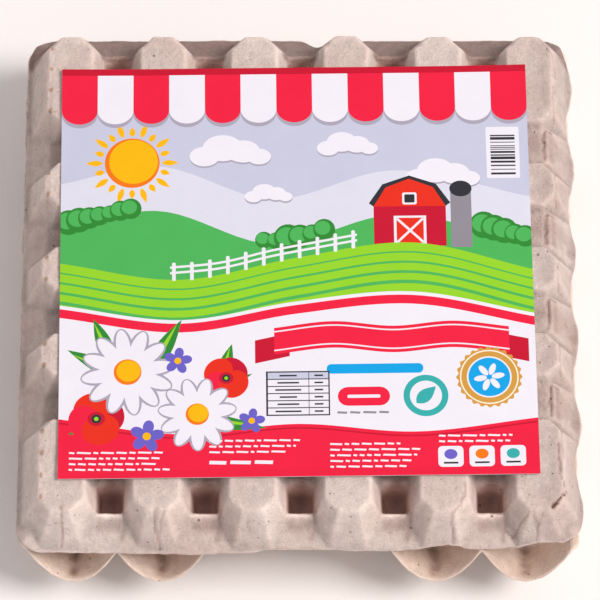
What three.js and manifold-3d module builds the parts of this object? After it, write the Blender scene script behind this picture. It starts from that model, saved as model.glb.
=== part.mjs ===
// A shut pack of thirty eggs: a moulded-pulp egg tray, a second tray turned over on it as a lid
// with panels in the valleys of its right side, and a printed card label lying on the lid.
// Millimetres, +Z up, the front edge at -Y, the origin under the middle of the lower tray's feet.

import * as THREE from "three";
import { mergeVertices } from "three/addons/utils/BufferGeometryUtils.js";
import Module from "manifold-3d";

const wasm = await Module();
wasm.setup();

// Layout of the egg cups. Six columns run along X and five rows along Y, in a square frame,
// so the first and last rows have half a pitch more room than the others.
const PITCH = 49;
const COLUMNS = 6;
const ROWS = 5;

// Heights of the pack.
const PACK_HEIGHT = 78;
const PARTING_HEIGHT = 46;
const CORE_HEIGHT = 39;
const CORE_WALL = 4.5;
const CORE_END_WALL = 1.5;
const CONTACT_GAP = 0.3;

// The flat bottom of a cup: a square with its corners cut off.
const FLAT_HALF = 12.25;
const FLAT_CHAMFER = 7.2;
const SIDE_FLAT_REACH = 134.5;

// The square hollow post between four cups.
const POST_MOUTH_HALF = 8;
const POST_TIP_HALF = 6;
const POST_SIDES = 4;

// The upper tray's rim, seen from above. Its right edge is wavy, and its back has a finger notch.
const RIM_LEFT = 147;
const RIM_RIGHT = 144.8;
const RIM_DEPTH = 148;
const RIM_FRONT_RADIUS = 12;
const RIM_BACK_RADIUS = 15;
const WAVE_HEIGHT = 1.9;
const WAVE_SHIFT = -4;
const WAVE_STEPS = 48;
const WAVE_FADE_STEPS = 4;
const NOTCH_CENTRE = 9.2;
const NOTCH_HALF = 9.5;
const NOTCH_DEPTH = 5.5;
const NOTCH_STEPS = 8;

// The lower tray's rim lies just inside the upper one.
const LOWER_RIM_HALF = 144;
const LOWER_RIM_RADIUS = 12;
const CORNER_SEGMENTS = 6;

// The scoops where the lower tray's end cups flare out past the lid. A scoop is a pointed channel
// at its inner end and a round lip at its outer end.
const SCOOP_CENTRES = [-117.4, -71.8, 70.6, 117.4];
const SCOOP_HALF = 22.5;
const SCOOP_REACH = 154.5;
const SCOOP_SIDE_REACH = 146.5;
const SCOOP_OUTLINE_CURVE = 2.2;
const SCOOP_WALL = 2.4;
const SCOOP_FOOT_HALF = 7;
const SCOOP_FOOT_REACH = 121;
const SCOOP_ROOT_REACH = 112;
const SCOOP_LIP_HEIGHT = 25;
const SCOOP_LIP_CURVE = 1.8;
const SCOOP_INNER_REACH = 132.5;
const SCOOP_INNER_HEIGHT = 14;
const SCOOP_INNER_CURVE = 1.15;
const SCOOP_STEPS = 6;

// The panels that close the valleys at the upper tray's right side. Each has a level top and an
// outer face that slopes down to the rim.
const PANEL_DROP = 5;
const PANEL_INNER_REACH = 114;
const PANEL_TOP_REACH = 131.5;
const PANEL_TOP_HALF = 10.5;
const PANEL_FOOT_HALF = 13;

// How far a cutting solid stands out past the face that it cuts.
const OVERSHOOT = 2;

// The card label.
const LABEL_WIDTH = 247;
const LABEL_LENGTH = 235;
const LABEL_THICKNESS = 0.5;
const LABEL_CENTRE = [-1.9, -0.8];
const LABEL_TURN = THREE.MathUtils.degToRad(0.7);

// How each tray's relief falls away from the flat cup bottoms. A cup widens from its flat bottom to
// cupHalf at the rim's level. The valleys between cups have a flat floor at saddleDrop, which ends
// at saddleEnd and saddleSide and slopes down from there to the outer walls' foot at the rim.
const UPPER = {
  height: PACK_HEIGHT - PARTING_HEIGHT - CONTACT_GAP,
  saddleDrop: 18,
  saddleEnd: 132,
  saddleSide: 134,
  rimDrop: 28,
  postDrop: 36,
  endFlatReach: 136,
  cupHalf: 20.3,
  wallEnd: 146.6,
  wallSide: 144.6,
  rimChamfer: 10.3,
  keel: 1.3,
  keeledColumns: [0, 1, 5],
};
const LOWER = {
  height: PARTING_HEIGHT,
  saddleDrop: 26,
  saddleEnd: 131,
  saddleSide: 134,
  rimDrop: 42,
  postDrop: 36,
  endFlatReach: 122,
  cupHalf: 24,
  wallEnd: 143,
  wallSide: 142.6,
  rimChamfer: 12,
  keel: 0,
  keeledColumns: [],
};

const PULP = new THREE.MeshStandardMaterial({ color: 0xb9a595, roughness: 0.95, metalness: 0 });
const CARD = new THREE.MeshStandardMaterial({ color: 0xf1eff4, roughness: 0.4, metalness: 0 });

// Closed geometry to a manifold solid, with its shared corners merged.
function solidFrom(geometry) {
  const bare = geometry.clone();
  bare.deleteAttribute("normal");
  bare.deleteAttribute("uv");
  const merged = mergeVertices(bare, 1e-4);
  return new wasm.Manifold(
    new wasm.Mesh({
      numProp: 3,
      vertProperties: new Float32Array(merged.attributes.position.array),
      triVerts: new Uint32Array(merged.index.array),
    }),
  );
}

function geometryFrom(solid) {
  const mesh = solid.getMesh();
  const geometry = new THREE.BufferGeometry();
  geometry.setAttribute("position", new THREE.BufferAttribute(mesh.vertProperties, 3));
  geometry.setIndex(new THREE.BufferAttribute(mesh.triVerts, 1));
  geometry.computeVertexNormals();
  return geometry;
}

function joined(solids) {
  return solids.reduce((whole, next) => whole.add(next));
}

// A solid between outlines of equal point count, lowest first, each a list of Vector3. The lowest
// and the highest outline are level. Every outline runs anticlockwise seen from above.
function loft(levels) {
  const count = levels[0].length;
  const positions = levels.flat().flatMap((point) => point.toArray());
  const index = [];
  for (let level = 0; level + 1 < levels.length; level += 1) {
    for (let i = 0; i < count; i += 1) {
      const next = (i + 1) % count;
      const low = level * count;
      const high = low + count;
      index.push(low + i, low + next, high + next);
      index.push(low + i, high + next, high + i);
    }
  }
  const top = (levels.length - 1) * count;
  for (const [a, b, c] of THREE.ShapeUtils.triangulateShape(levels[0], [])) {
    index.push(c, b, a);
  }
  for (const [a, b, c] of THREE.ShapeUtils.triangulateShape(levels.at(-1), [])) {
    index.push(top + a, top + b, top + c);
  }
  const geometry = new THREE.BufferGeometry();
  geometry.setAttribute("position", new THREE.Float32BufferAttribute(positions, 3));
  geometry.setIndex(index);
  return geometry;
}

// A level rectangle with its corners cut off, and the middle of its two end edges pushed out
// into a keel.
function cupOutline({ left, right, front, back, z, chamfer, frontKeel, backKeel }) {
  const middle = (left + right) / 2;
  return [
    [left + chamfer, front],
    [middle, front - frontKeel],
    [right - chamfer, front],
    [right, front + chamfer],
    [right, back - chamfer],
    [right - chamfer, back],
    [middle, back + backKeel],
    [left + chamfer, back],
    [left, back - chamfer],
    [left, front + chamfer],
  ].map(([x, y]) => new THREE.Vector3(x, y, z));
}

// One egg cup as a tapered block with its flat bottom upwards. Its outer sides reach out to the
// walls' foot on the rim.
function cup(column, row, relief) {
  const x = (column - (COLUMNS - 1) / 2) * PITCH;
  const y = (row - (ROWS - 1) / 2) * PITCH;
  const first = column === 0;
  const last = column === COLUMNS - 1;
  const frontRow = row === 0;
  const backRow = row === ROWS - 1;
  const keel = relief.keeledColumns.includes(column) ? relief.keel : 0;
  const flat = cupOutline({
    left: first ? -SIDE_FLAT_REACH : x - FLAT_HALF,
    right: last ? SIDE_FLAT_REACH : x + FLAT_HALF,
    front: frontRow ? -relief.endFlatReach : y - FLAT_HALF,
    back: backRow ? relief.endFlatReach : y + FLAT_HALF,
    z: relief.height,
    chamfer: FLAT_CHAMFER,
    frontKeel: 0,
    backKeel: 0,
  });
  const base = cupOutline({
    left: first ? -relief.wallSide : x - relief.cupHalf,
    right: last ? relief.wallSide : x + relief.cupHalf,
    front: frontRow ? -relief.wallEnd : y - relief.cupHalf,
    back: backRow ? relief.wallEnd : y + relief.cupHalf,
    z: relief.height - relief.rimDrop,
    chamfer: relief.rimChamfer,
    frontKeel: frontRow ? keel : 0,
    backKeel: backRow ? keel : 0,
  });
  return solidFrom(loft([base, flat]));
}

// The hollow of one post: a square hole that narrows a little as it goes down.
function postHollow(column, row, relief) {
  const depth = relief.postDrop + OVERSHOOT;
  const corner = 1 / Math.cos(Math.PI / POST_SIDES);
  const hollow = new THREE.CylinderGeometry(
    POST_MOUTH_HALF * corner,
    POST_TIP_HALF * corner,
    depth,
    POST_SIDES,
    1,
    false,
    Math.PI / POST_SIDES,
  );
  hollow.rotateX(Math.PI / 2);
  hollow.translate(
    (column - (COLUMNS - 2) / 2) * PITCH,
    (row - ROWS / 2) * PITCH,
    relief.height + OVERSHOOT - depth / 2,
  );
  return solidFrom(hollow);
}

function rectangle(halfWidth, halfLength, z) {
  return [
    new THREE.Vector3(-halfWidth, -halfLength, z),
    new THREE.Vector3(halfWidth, -halfLength, z),
    new THREE.Vector3(halfWidth, halfLength, z),
    new THREE.Vector3(-halfWidth, halfLength, z),
  ];
}

// The floor of all the valleys between the cups, as one block with sloping sides.
function saddleBlock(relief) {
  return solidFrom(
    loft([
      rectangle(relief.wallSide, relief.wallEnd, relief.height - relief.rimDrop),
      rectangle(relief.saddleSide, relief.saddleEnd, relief.height - relief.saddleDrop),
    ]),
  );
}

// A tray with its cup bottoms upwards, joined to the plate that carries them.
function trayRelief(plate, relief) {
  const cups = [];
  for (let column = 0; column < COLUMNS; column += 1) {
    for (let row = 0; row < ROWS; row += 1) {
      cups.push(cup(column, row, relief));
    }
  }
  return joined([plate, saddleBlock(relief), ...cups]);
}

// The panel between two rows at the right side of the upper tray.
function sidePanel(gap) {
  const y = (gap - (ROWS - 2) / 2) * PITCH;
  const level = (right, half, z) => [
    new THREE.Vector3(PANEL_INNER_REACH, y - half, z),
    new THREE.Vector3(right, y - half, z),
    new THREE.Vector3(right, y + half, z),
    new THREE.Vector3(PANEL_INNER_REACH, y + half, z),
  ];
  const foot = level(UPPER.wallSide, PANEL_FOOT_HALF, UPPER.height - UPPER.rimDrop);
  const top = level(PANEL_TOP_REACH, PANEL_TOP_HALF, UPPER.height - PANEL_DROP);
  return solidFrom(loft([foot, top]));
}

function postHollows(relief) {
  const hollows = [];
  for (let column = 0; column < COLUMNS - 1; column += 1) {
    for (let row = 0; row < ROWS + 1; row += 1) {
      hollows.push(postHollow(column, row, relief));
    }
  }
  return joined(hollows);
}

// The upper rim seen from above: rounded corners, a wavy right edge and a finger notch at the back.
function upperRimShape() {
  const shape = new THREE.Shape();
  const quarter = Math.PI / 2;
  const front = -RIM_DEPTH;
  const back = RIM_DEPTH;
  shape.moveTo(-RIM_LEFT + RIM_FRONT_RADIUS, front);
  shape.lineTo(RIM_RIGHT - RIM_FRONT_RADIUS, front);
  shape.absarc(
    RIM_RIGHT - RIM_FRONT_RADIUS,
    front + RIM_FRONT_RADIUS,
    RIM_FRONT_RADIUS,
    -quarter,
    0,
  );
  const waveStart = front + RIM_FRONT_RADIUS;
  const waveEnd = back - RIM_BACK_RADIUS;
  for (let i = 1; i < WAVE_STEPS; i += 1) {
    const y = THREE.MathUtils.lerp(waveStart, waveEnd, i / WAVE_STEPS);
    const fade = Math.min(1, i / WAVE_FADE_STEPS, (WAVE_STEPS - i) / WAVE_FADE_STEPS);
    const phase = (2 * Math.PI * (y - PITCH / 2 - WAVE_SHIFT)) / PITCH;
    shape.lineTo(RIM_RIGHT + fade * WAVE_HEIGHT * Math.cos(phase), y);
  }
  shape.lineTo(RIM_RIGHT, waveEnd);
  shape.absarc(RIM_RIGHT - RIM_BACK_RADIUS, waveEnd, RIM_BACK_RADIUS, 0, quarter);
  for (let i = 0; i <= NOTCH_STEPS; i += 1) {
    const across = 1 - (2 * i) / NOTCH_STEPS;
    const dip = NOTCH_DEPTH * Math.cos((across * Math.PI) / 2) ** 2;
    shape.lineTo(NOTCH_CENTRE + across * NOTCH_HALF, back - dip);
  }
  shape.lineTo(-RIM_LEFT + RIM_BACK_RADIUS, back);
  shape.absarc(-RIM_LEFT + RIM_BACK_RADIUS, waveEnd, RIM_BACK_RADIUS, quarter, 2 * quarter);
  shape.lineTo(-RIM_LEFT, waveStart);
  shape.absarc(
    -RIM_LEFT + RIM_FRONT_RADIUS,
    waveStart,
    RIM_FRONT_RADIUS,
    2 * quarter,
    3 * quarter,
  );
  return shape;
}

function lowerRimShape() {
  const half = LOWER_RIM_HALF;
  const inner = half - LOWER_RIM_RADIUS;
  const quarter = Math.PI / 2;
  const shape = new THREE.Shape();
  shape.moveTo(-inner, -half);
  shape.lineTo(inner, -half);
  shape.absarc(inner, -inner, LOWER_RIM_RADIUS, -quarter, 0);
  shape.lineTo(half, inner);
  shape.absarc(inner, inner, LOWER_RIM_RADIUS, 0, quarter);
  shape.lineTo(-inner, half);
  shape.absarc(-inner, inner, LOWER_RIM_RADIUS, quarter, 2 * quarter);
  shape.lineTo(-half, -inner);
  shape.absarc(-inner, -inner, LOWER_RIM_RADIUS, 2 * quarter, 3 * quarter);
  return shape;
}

function plateFrom(shape, thickness) {
  const settings = { depth: thickness, bevelEnabled: false, curveSegments: CORNER_SEGMENTS };
  return solidFrom(new THREE.ExtrudeGeometry(shape, settings));
}

// A block inside the rims, hanging down from the given height. The inside of the shut pack is
// solid: the upper tray's block reaches down into a recess of the lower tray, so that the hollow
// posts end in it.
function core(margin, depth, height) {
  const halfWidth = ((COLUMNS - 2) / 2) * PITCH + POST_TIP_HALF + CORE_WALL;
  const halfLength = (ROWS / 2) * PITCH + POST_TIP_HALF + CORE_END_WALL;
  const block = new THREE.BoxGeometry(
    2 * (halfWidth + margin),
    2 * (halfLength + margin),
    depth,
  );
  block.translate(0, 0, height - depth / 2);
  return solidFrom(block);
}

function makeUpperTray() {
  const plate = plateFrom(upperRimShape(), UPPER.height - UPPER.rimDrop);
  const block = core(0, PARTING_HEIGHT - CORE_HEIGHT, 0);
  const panels = Array.from({ length: ROWS - 1 }, (_, gap) => sidePanel(gap));
  return joined([trayRelief(plate, UPPER), block, ...panels]).subtract(postHollows(UPPER));
}

// Places across a scoop, from -1 at its left side to 1 at its right side.
function acrossScoop() {
  return Array.from({ length: 2 * SCOOP_STEPS + 1 }, (_, i) => i / SCOOP_STEPS - 1);
}

// How far a scoop's lip stands out, seen from above.
function lipReach(across) {
  const setBack = Math.abs(across) ** SCOOP_OUTLINE_CURVE;
  return THREE.MathUtils.lerp(SCOOP_REACH, SCOOP_SIDE_REACH, setBack);
}

// Height of a scoop's floor where it starts, at the inner wall.
function innerFloor(across) {
  const side = Math.abs(across) ** SCOOP_INNER_CURVE;
  return THREE.MathUtils.lerp(SCOOP_INNER_HEIGHT, PARTING_HEIGHT, side);
}

// Height of a scoop's floor at its lip.
function lipFloor(across) {
  const side = Math.abs(across) ** SCOOP_LIP_CURVE;
  return THREE.MathUtils.lerp(SCOOP_LIP_HEIGHT, PARTING_HEIGHT, side);
}

// The body of a scoop at the front: it flares from the foot up to the underside of the lip, and
// then stands straight up to the parting. Its root is buried in the tray.
function scoopOutside(x) {
  const foot = [];
  const lip = [];
  const top = [];
  for (const across of acrossScoop()) {
    const wide = x + across * SCOOP_HALF;
    const front = -lipReach(across);
    foot.push(new THREE.Vector3(x + across * SCOOP_FOOT_HALF, -SCOOP_FOOT_REACH, 0));
    lip.push(new THREE.Vector3(wide, front, lipFloor(across) - SCOOP_WALL));
    top.push(new THREE.Vector3(wide, front, PARTING_HEIGHT));
  }
  for (const across of [1, -1]) {
    const wide = x + across * SCOOP_HALF;
    foot.push(new THREE.Vector3(x + across * SCOOP_FOOT_HALF, -SCOOP_ROOT_REACH, 0));
    lip.push(new THREE.Vector3(wide, -SCOOP_ROOT_REACH, PARTING_HEIGHT - SCOOP_WALL));
    top.push(new THREE.Vector3(wide, -SCOOP_ROOT_REACH, PARTING_HEIGHT));
  }
  return solidFrom(loft([foot, lip, top]));
}

// What is scooped out: a channel whose floor rises from the inner wall to the lip and on past it.
function scoopInside(x) {
  const past = (SCOOP_REACH + OVERSHOOT - SCOOP_INNER_REACH) / (SCOOP_REACH - SCOOP_INNER_REACH);
  const section = (reach, share) => {
    const profile = acrossScoop().map((across) => {
      const height = THREE.MathUtils.lerp(innerFloor(across), lipFloor(across), share);
      return [x + across * SCOOP_HALF, -reach, height];
    });
    profile.push([x + SCOOP_HALF, -reach, PARTING_HEIGHT + OVERSHOOT]);
    profile.push([x - SCOOP_HALF, -reach, PARTING_HEIGHT + OVERSHOOT]);
    return profile;
  };
  const inner = section(SCOOP_INNER_REACH, 0);
  const outer = section(SCOOP_REACH + OVERSHOOT, past);
  return solidFrom(prismBetween(inner, outer));
}

// A closed solid between two outlines of equal point count. Both run anticlockwise seen from
// the side of the second one.
function prismBetween(inner, outer) {
  const count = inner.length;
  const flat = inner.map(([x, , z]) => new THREE.Vector2(x, z));
  const index = [];
  for (let i = 0; i < count; i += 1) {
    const next = (i + 1) % count;
    index.push(i, next, count + next);
    index.push(i, count + next, count + i);
  }
  for (const [a, b, c] of THREE.ShapeUtils.triangulateShape(flat, [])) {
    index.push(c, b, a);
    index.push(count + a, count + b, count + c);
  }
  const geometry = new THREE.BufferGeometry();
  const positions = [...inner, ...outer].flat();
  geometry.setAttribute("position", new THREE.Float32BufferAttribute(positions, 3));
  geometry.setIndex(index);
  return geometry;
}

function makeLowerTray() {
  const plate = plateFrom(lowerRimShape(), LOWER.height - LOWER.rimDrop);
  let tray = trayRelief(plate, LOWER).rotate([180, 0, 0]).translate([0, 0, PARTING_HEIGHT]);
  for (const side of [0, 180]) {
    for (const centre of SCOOP_CENTRES) {
      const outside = scoopOutside(centre).rotate([0, 0, side]);
      const inside = scoopInside(centre).rotate([0, 0, side]);
      tray = tray.add(outside).subtract(inside);
    }
  }
  const hollows = postHollows(LOWER).rotate([180, 0, 0]).translate([0, 0, PARTING_HEIGHT]);
  const recess = core(CONTACT_GAP, PARTING_HEIGHT - CORE_HEIGHT, PARTING_HEIGHT);
  return tray.subtract(hollows).subtract(recess);
}

const group = new THREE.Group();

const lowerTray = new THREE.Mesh(geometryFrom(makeLowerTray()), PULP);
lowerTray.name = "lower_tray";
group.add(lowerTray);

const upperTray = new THREE.Mesh(geometryFrom(makeUpperTray()), PULP);
upperTray.name = "upper_tray";
upperTray.position.z = PARTING_HEIGHT + CONTACT_GAP;
group.add(upperTray);

const labelBox = new THREE.BoxGeometry(LABEL_WIDTH, LABEL_LENGTH, LABEL_THICKNESS);
const label = new THREE.Mesh(labelBox, CARD);
label.name = "label";
label.position.set(...LABEL_CENTRE, PACK_HEIGHT + CONTACT_GAP + LABEL_THICKNESS / 2);
label.rotation.z = LABEL_TURN;
group.add(label);

export default group;
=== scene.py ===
"""Looks of a shut pack of thirty eggs: two moulded-pulp trays and a printed card label.

The lower tray stands on its cup bottoms, the upper one lies turned over on it as a lid, and the card
lies on the lid. Sizes in the classes are millimetres unless a name or a docstring says metres; every
mesh is written in metres, in the frame's own place.
"""

from __future__ import annotations

import logging
import math
from dataclasses import dataclass, field
from enum import Enum
from typing import Iterable, Sequence

import bpy
import numpy as np
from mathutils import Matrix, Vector, geometry

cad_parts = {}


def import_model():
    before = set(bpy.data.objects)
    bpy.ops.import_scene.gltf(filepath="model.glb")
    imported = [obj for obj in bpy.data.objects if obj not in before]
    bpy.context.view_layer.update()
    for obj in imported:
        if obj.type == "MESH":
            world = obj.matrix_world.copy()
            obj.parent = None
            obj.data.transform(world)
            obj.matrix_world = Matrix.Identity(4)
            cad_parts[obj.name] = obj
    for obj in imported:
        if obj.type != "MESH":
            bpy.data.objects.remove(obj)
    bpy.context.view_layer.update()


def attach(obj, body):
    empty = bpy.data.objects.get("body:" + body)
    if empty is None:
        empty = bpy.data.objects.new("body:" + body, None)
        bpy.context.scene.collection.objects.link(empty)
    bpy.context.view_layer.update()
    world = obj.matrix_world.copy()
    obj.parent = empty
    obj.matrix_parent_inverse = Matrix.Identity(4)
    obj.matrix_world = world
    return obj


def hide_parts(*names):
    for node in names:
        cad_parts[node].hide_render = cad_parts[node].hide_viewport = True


LOG = logging.getLogger("egg_pack")

MM = 0.001
ROOT = "root"
WEAR_AND_SHADING_BLUR = 4.0
WEAR_AND_SHADING_DEPTH = 2.0

Point = tuple[float, float]
Loop = list[int]


def smooth_step(t: np.ndarray | float) -> np.ndarray:
    """Ease a ramp from 0 to 1 so that it starts and ends level."""
    t = np.clip(t, 0.0, 1.0)
    return t * t * (3.0 - 2.0 * t)


def ramp(values: np.ndarray, start: float, width: float) -> np.ndarray:
    """Ease from 0 at a start to 1 a width further on; with a negative width, further back."""
    return smooth_step((values - start) / width)


def hill(values: np.ndarray, centre: float, half: float) -> np.ndarray:
    """Bell-shaped strength, 1 at the centre."""
    return np.exp(-(((values - centre) / half) ** 2))


def lattice_noise(x: np.ndarray, y: np.ndarray, cell: float, seed: int) -> np.ndarray:
    """Give a smooth random field in -1 to 1.

    Args:
        x: Places along X, in millimetres.
        y: Places along Y, of the same shape.
        cell: Distance between two random values, in millimetres.
        seed: Seed of the random values.

    Returns:
        The field at each place.
    """
    size = 128
    values = np.random.default_rng(seed).uniform(-1.0, 1.0, (size, size))
    u = x / cell + size
    v = y / cell + size
    i = np.floor(u).astype(int)
    j = np.floor(v).astype(int)
    s = smooth_step(u - i)
    t = smooth_step(v - j)

    def at(a: np.ndarray, b: np.ndarray) -> np.ndarray:
        """Read the lattice, which repeats."""
        return values[a % size, b % size]

    low = at(i, j) * (1 - s) + at(i + 1, j) * s
    high = at(i, j + 1) * (1 - s) + at(i + 1, j + 1) * s
    return low * (1 - t) + high * t


def skin_noise(x: np.ndarray, y: np.ndarray, seed: int) -> np.ndarray:
    """Unevenness of the pressed pulp, in millimetres: broad dents with finer ones on them."""
    return 0.18 * lattice_noise(x, y, 7.0, seed) + 0.1 * lattice_noise(x, y, 2.8, seed + 1)


def blurred(field_values: np.ndarray, sigma: float) -> np.ndarray:
    """Blur a height field along both axes.

    Args:
        field_values: The field, one value a cell.
        sigma: Spread of the blur, in cells.

    Returns:
        The blurred field, of the same shape.
    """
    radius = int(3 * sigma) + 1
    steps = np.arange(-radius, radius + 1)
    kernel = np.exp(-0.5 * (steps / sigma) ** 2)
    kernel /= kernel.sum()
    for axis in (0, 1):
        pad = [(0, 0), (0, 0)]
        pad[axis] = (radius, radius)
        padded = np.pad(field_values, pad, mode="edge")
        span = field_values.shape[axis]
        field_values = sum(
            weight * np.take(padded, range(k, k + span), axis=axis)
            for k, weight in enumerate(kernel)
        )
    return field_values


@dataclass(frozen=True)
class HeightField:
    """A square field of heights, read between its cells."""

    values: np.ndarray
    reach: float
    step: float

    def at(self, x: np.ndarray, y: np.ndarray) -> np.ndarray:
        """Read the field by linear interpolation.

        Args:
            x: Places along X, in millimetres.
            y: Places along Y, of the same shape.

        Returns:
            The height at each place.
        """
        last = self.values.shape[0] - 2
        u = np.clip((x + self.reach) / self.step, 0, last + 0.999)
        v = np.clip((y + self.reach) / self.step, 0, last + 0.999)
        i = u.astype(int)
        j = v.astype(int)
        s = u - i
        t = v - j
        f = self.values
        low = f[i, j] * (1 - s) + f[i + 1, j] * s
        high = f[i, j + 1] * (1 - s) + f[i + 1, j + 1] * s
        return low * (1 - t) + high * t

    def wear_and_shading_at(self, x: np.ndarray, y: np.ndarray) -> np.ndarray:
        """How far each place stands out of what is round it, from -1 in a corner to 1 on an edge; it makes
        edges lighter and corners darker, as painted shade.
        """
        soft = HeightField(blurred(self.values, WEAR_AND_SHADING_BLUR), self.reach, self.step)
        return np.clip((soft.at(x, y) - self.at(x, y)) / WEAR_AND_SHADING_DEPTH, -1.0, 1.0)


@dataclass(frozen=True)
class CupRelief:
    """The relief of a six by five egg tray, as a drop below the flat cup bottoms, in millimetres."""

    saddle_drop: float
    rim_drop: float
    end_reach: float
    cup_half: float
    saddle_end: float
    wall_end: float
    wall_side: float
    rim_chamfer: float
    keel: float
    keeled: tuple[int, ...]
    panelled: bool = False
    post_drop: float = 36.0
    saddle_side: float = 134.0
    panel_drop: float = 5.0
    panel_reach: tuple[float, float] = (114.0, 131.5)
    panel_half: tuple[float, float] = (10.5, 13.0)
    pitch: float = 49.0
    columns: int = 6
    rows: int = 5
    flat_half: float = 12.25
    flat_chamfer: float = 7.2
    side_reach: float = 134.5
    post_mouth: float = 8.0
    post_tip: float = 6.0
    post_overshoot: float = 2.0
    post_corner: float = 1.9
    lip_reach: float = 1.5
    lip_sink: float = 0.45
    lip_limit: float = 2.4
    core_half: tuple[float, float] = (108.5, 130.0)
    edge_round: float = 0.45
    unevenness: float = 0.45
    sink_share: float = 0.7
    wander: float = 0.5
    wander_cells: tuple[float, float] = (38.0, 34.0)
    seed: int = 11

    def cup_centre(self, column: int, row: int) -> Point:
        """Middle of a cup in plan, counted from the front left."""
        return (column - (self.columns - 1) / 2) * self.pitch, (row - (self.rows - 1) / 2) * self.pitch

    def facing_pair(self, centre: float) -> list[tuple]:
        """Sign, inner reach and outer reach of a cup's two facing slopes along one axis."""
        near, far = self.flat_half, self.cup_half
        return [(-1, near - centre, far - centre), (1, centre + near, centre + far)]

    def cup_drop(self, x: np.ndarray, y: np.ndarray, column: int, row: int) -> np.ndarray:
        """Drop of one cup's sloping faces below its flat bottom.

        Args:
            x: Places along X.
            y: Places along Y.
            column: The cup's column, from the left.
            row: The cup's row, from the front.

        Returns:
            The drop at each place, not limited to the rim's level.
        """
        centre_x, centre_y = self.cup_centre(column, row)
        faces_x, faces_y = self.facing_pair(centre_x), self.facing_pair(centre_y)
        if column == 0:
            faces_x[0] = (-1, self.side_reach, self.wall_side)
        if column == self.columns - 1:
            faces_x[1] = (1, self.side_reach, self.wall_side)
        keel = self.keel if column in self.keeled else 0.0
        fall = keel * np.clip(np.abs(x - centre_x) / self.flat_half, 0.0, 1.2)
        end_wall = self.wall_end + keel / 3 - fall
        if row == 0:
            faces_y[0] = (-1, self.end_reach, end_wall)
        if row == self.rows - 1:
            faces_y[1] = (1, self.end_reach, end_wall)
        widening = (self.rim_chamfer - self.flat_chamfer) / self.rim_drop
        drop = np.zeros_like(x)
        for places, faces in ((x, faces_x), (y, faces_y)):
            for sign, near, far in faces:
                drop = np.maximum(drop, (sign * places - near) / (far - near) * self.rim_drop)
        for sign_x, near_x, far_x in faces_x:
            for sign_y, near_y, far_y in faces_y:
                slope = (far_x - near_x + far_y - near_y) / self.rim_drop - widening
                outside = sign_x * x - near_x + sign_y * y - near_y + self.flat_chamfer
                drop = np.maximum(drop, outside / slope)
        return drop

    def post_hollow(self, x: np.ndarray, y: np.ndarray) -> tuple[np.ndarray, np.ndarray]:
        """Find the square post hollows.

        Args:
            x: Places along X.
            y: Places along Y.

        Returns:
            Their depth below the cup bottoms, negative outside them, and the extra sink of their round lips.
        """
        columns = np.clip(np.round(x / self.pitch), -2, 2)
        rows = np.clip(np.round(y / self.pitch - 0.5), -3, 2)
        across = np.abs(x - columns * self.pitch)
        along = np.abs(y - (rows + 0.5) * self.pitch)
        ring = np.maximum(np.maximum(across, along), (across + along) / self.post_corner)
        taper = (self.post_drop + self.post_overshoot) / (self.post_mouth - self.post_tip)
        depth = np.minimum(self.post_drop, (self.post_mouth - ring) * taper - self.post_overshoot)
        lip = np.clip(self.post_mouth + self.lip_reach - ring, 0.0, self.lip_limit)
        return depth, self.lip_sink * lip**2

    def saddle(self, x: np.ndarray, y: np.ndarray) -> np.ndarray:
        """Drop of the valleys' flat floor and of its slopes down to the rim.

        Args:
            x: Places along X.
            y: Places along Y.

        Returns:
            The drop at each place.
        """
        side = (np.abs(x) - self.saddle_side) / (self.wall_side - self.saddle_side)
        end = (np.abs(y) - self.saddle_end) / (self.wall_end - self.saddle_end)
        slope = np.clip(np.maximum(side, end), 0.0, 1.0)
        return self.saddle_drop + (self.rim_drop - self.saddle_drop) * slope

    def gap_middle(self, y: np.ndarray) -> np.ndarray:
        """Y of the nearest middle between two rows."""
        return (np.clip(np.round(y / self.pitch - 0.5), -2, 1) + 0.5) * self.pitch

    def panel(self, x: np.ndarray, y: np.ndarray) -> np.ndarray:
        """Drop of the panels that close the valleys at the right side.

        Args:
            x: Places along X.
            y: Places along Y.

        Returns:
            The drop at each place, the rim's left of the panels.
        """
        away = np.abs(y - self.gap_middle(y))
        side = (x - self.panel_reach[1]) / (self.wall_side - self.panel_reach[1])
        end = (away - self.panel_half[0]) / (self.panel_half[1] - self.panel_half[0])
        slope = np.clip(np.maximum(side, end), 0.0, 1.0)
        slope = np.where(x < self.panel_reach[0], 1.0, slope)
        return self.panel_drop + (self.rim_drop - self.panel_drop) * slope

    def drop(self, x: np.ndarray, y: np.ndarray) -> np.ndarray:
        """Sharp relief of the whole tray at each place, as the frame's solid has it.

        Args:
            x: Places along X.
            y: Places along Y.

        Returns:
            The drop below the flat cup bottoms.
        """
        rng = np.random.default_rng(self.seed)
        lowest = self.saddle(x, y)
        if self.panelled:
            lowest = np.minimum(lowest, self.panel(x, y))
        for column in range(self.columns):
            for row in range(self.rows):
                sink, tilt_x, tilt_y = rng.uniform(-1, 1, 3) * self.unevenness
                centre_x, centre_y = self.cup_centre(column, row)
                tilt = tilt_x * (x - centre_x) / self.pitch + tilt_y * (y - centre_y) / self.pitch
                bottom = np.abs(sink) * self.sink_share + np.clip(tilt, 0.0, 1.0)
                lowest = np.minimum(lowest, np.maximum(bottom, self.cup_drop(x, y, column, row)))
        hollow, lip = self.post_hollow(x, y)
        return np.maximum(lowest + lip, hollow)

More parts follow.
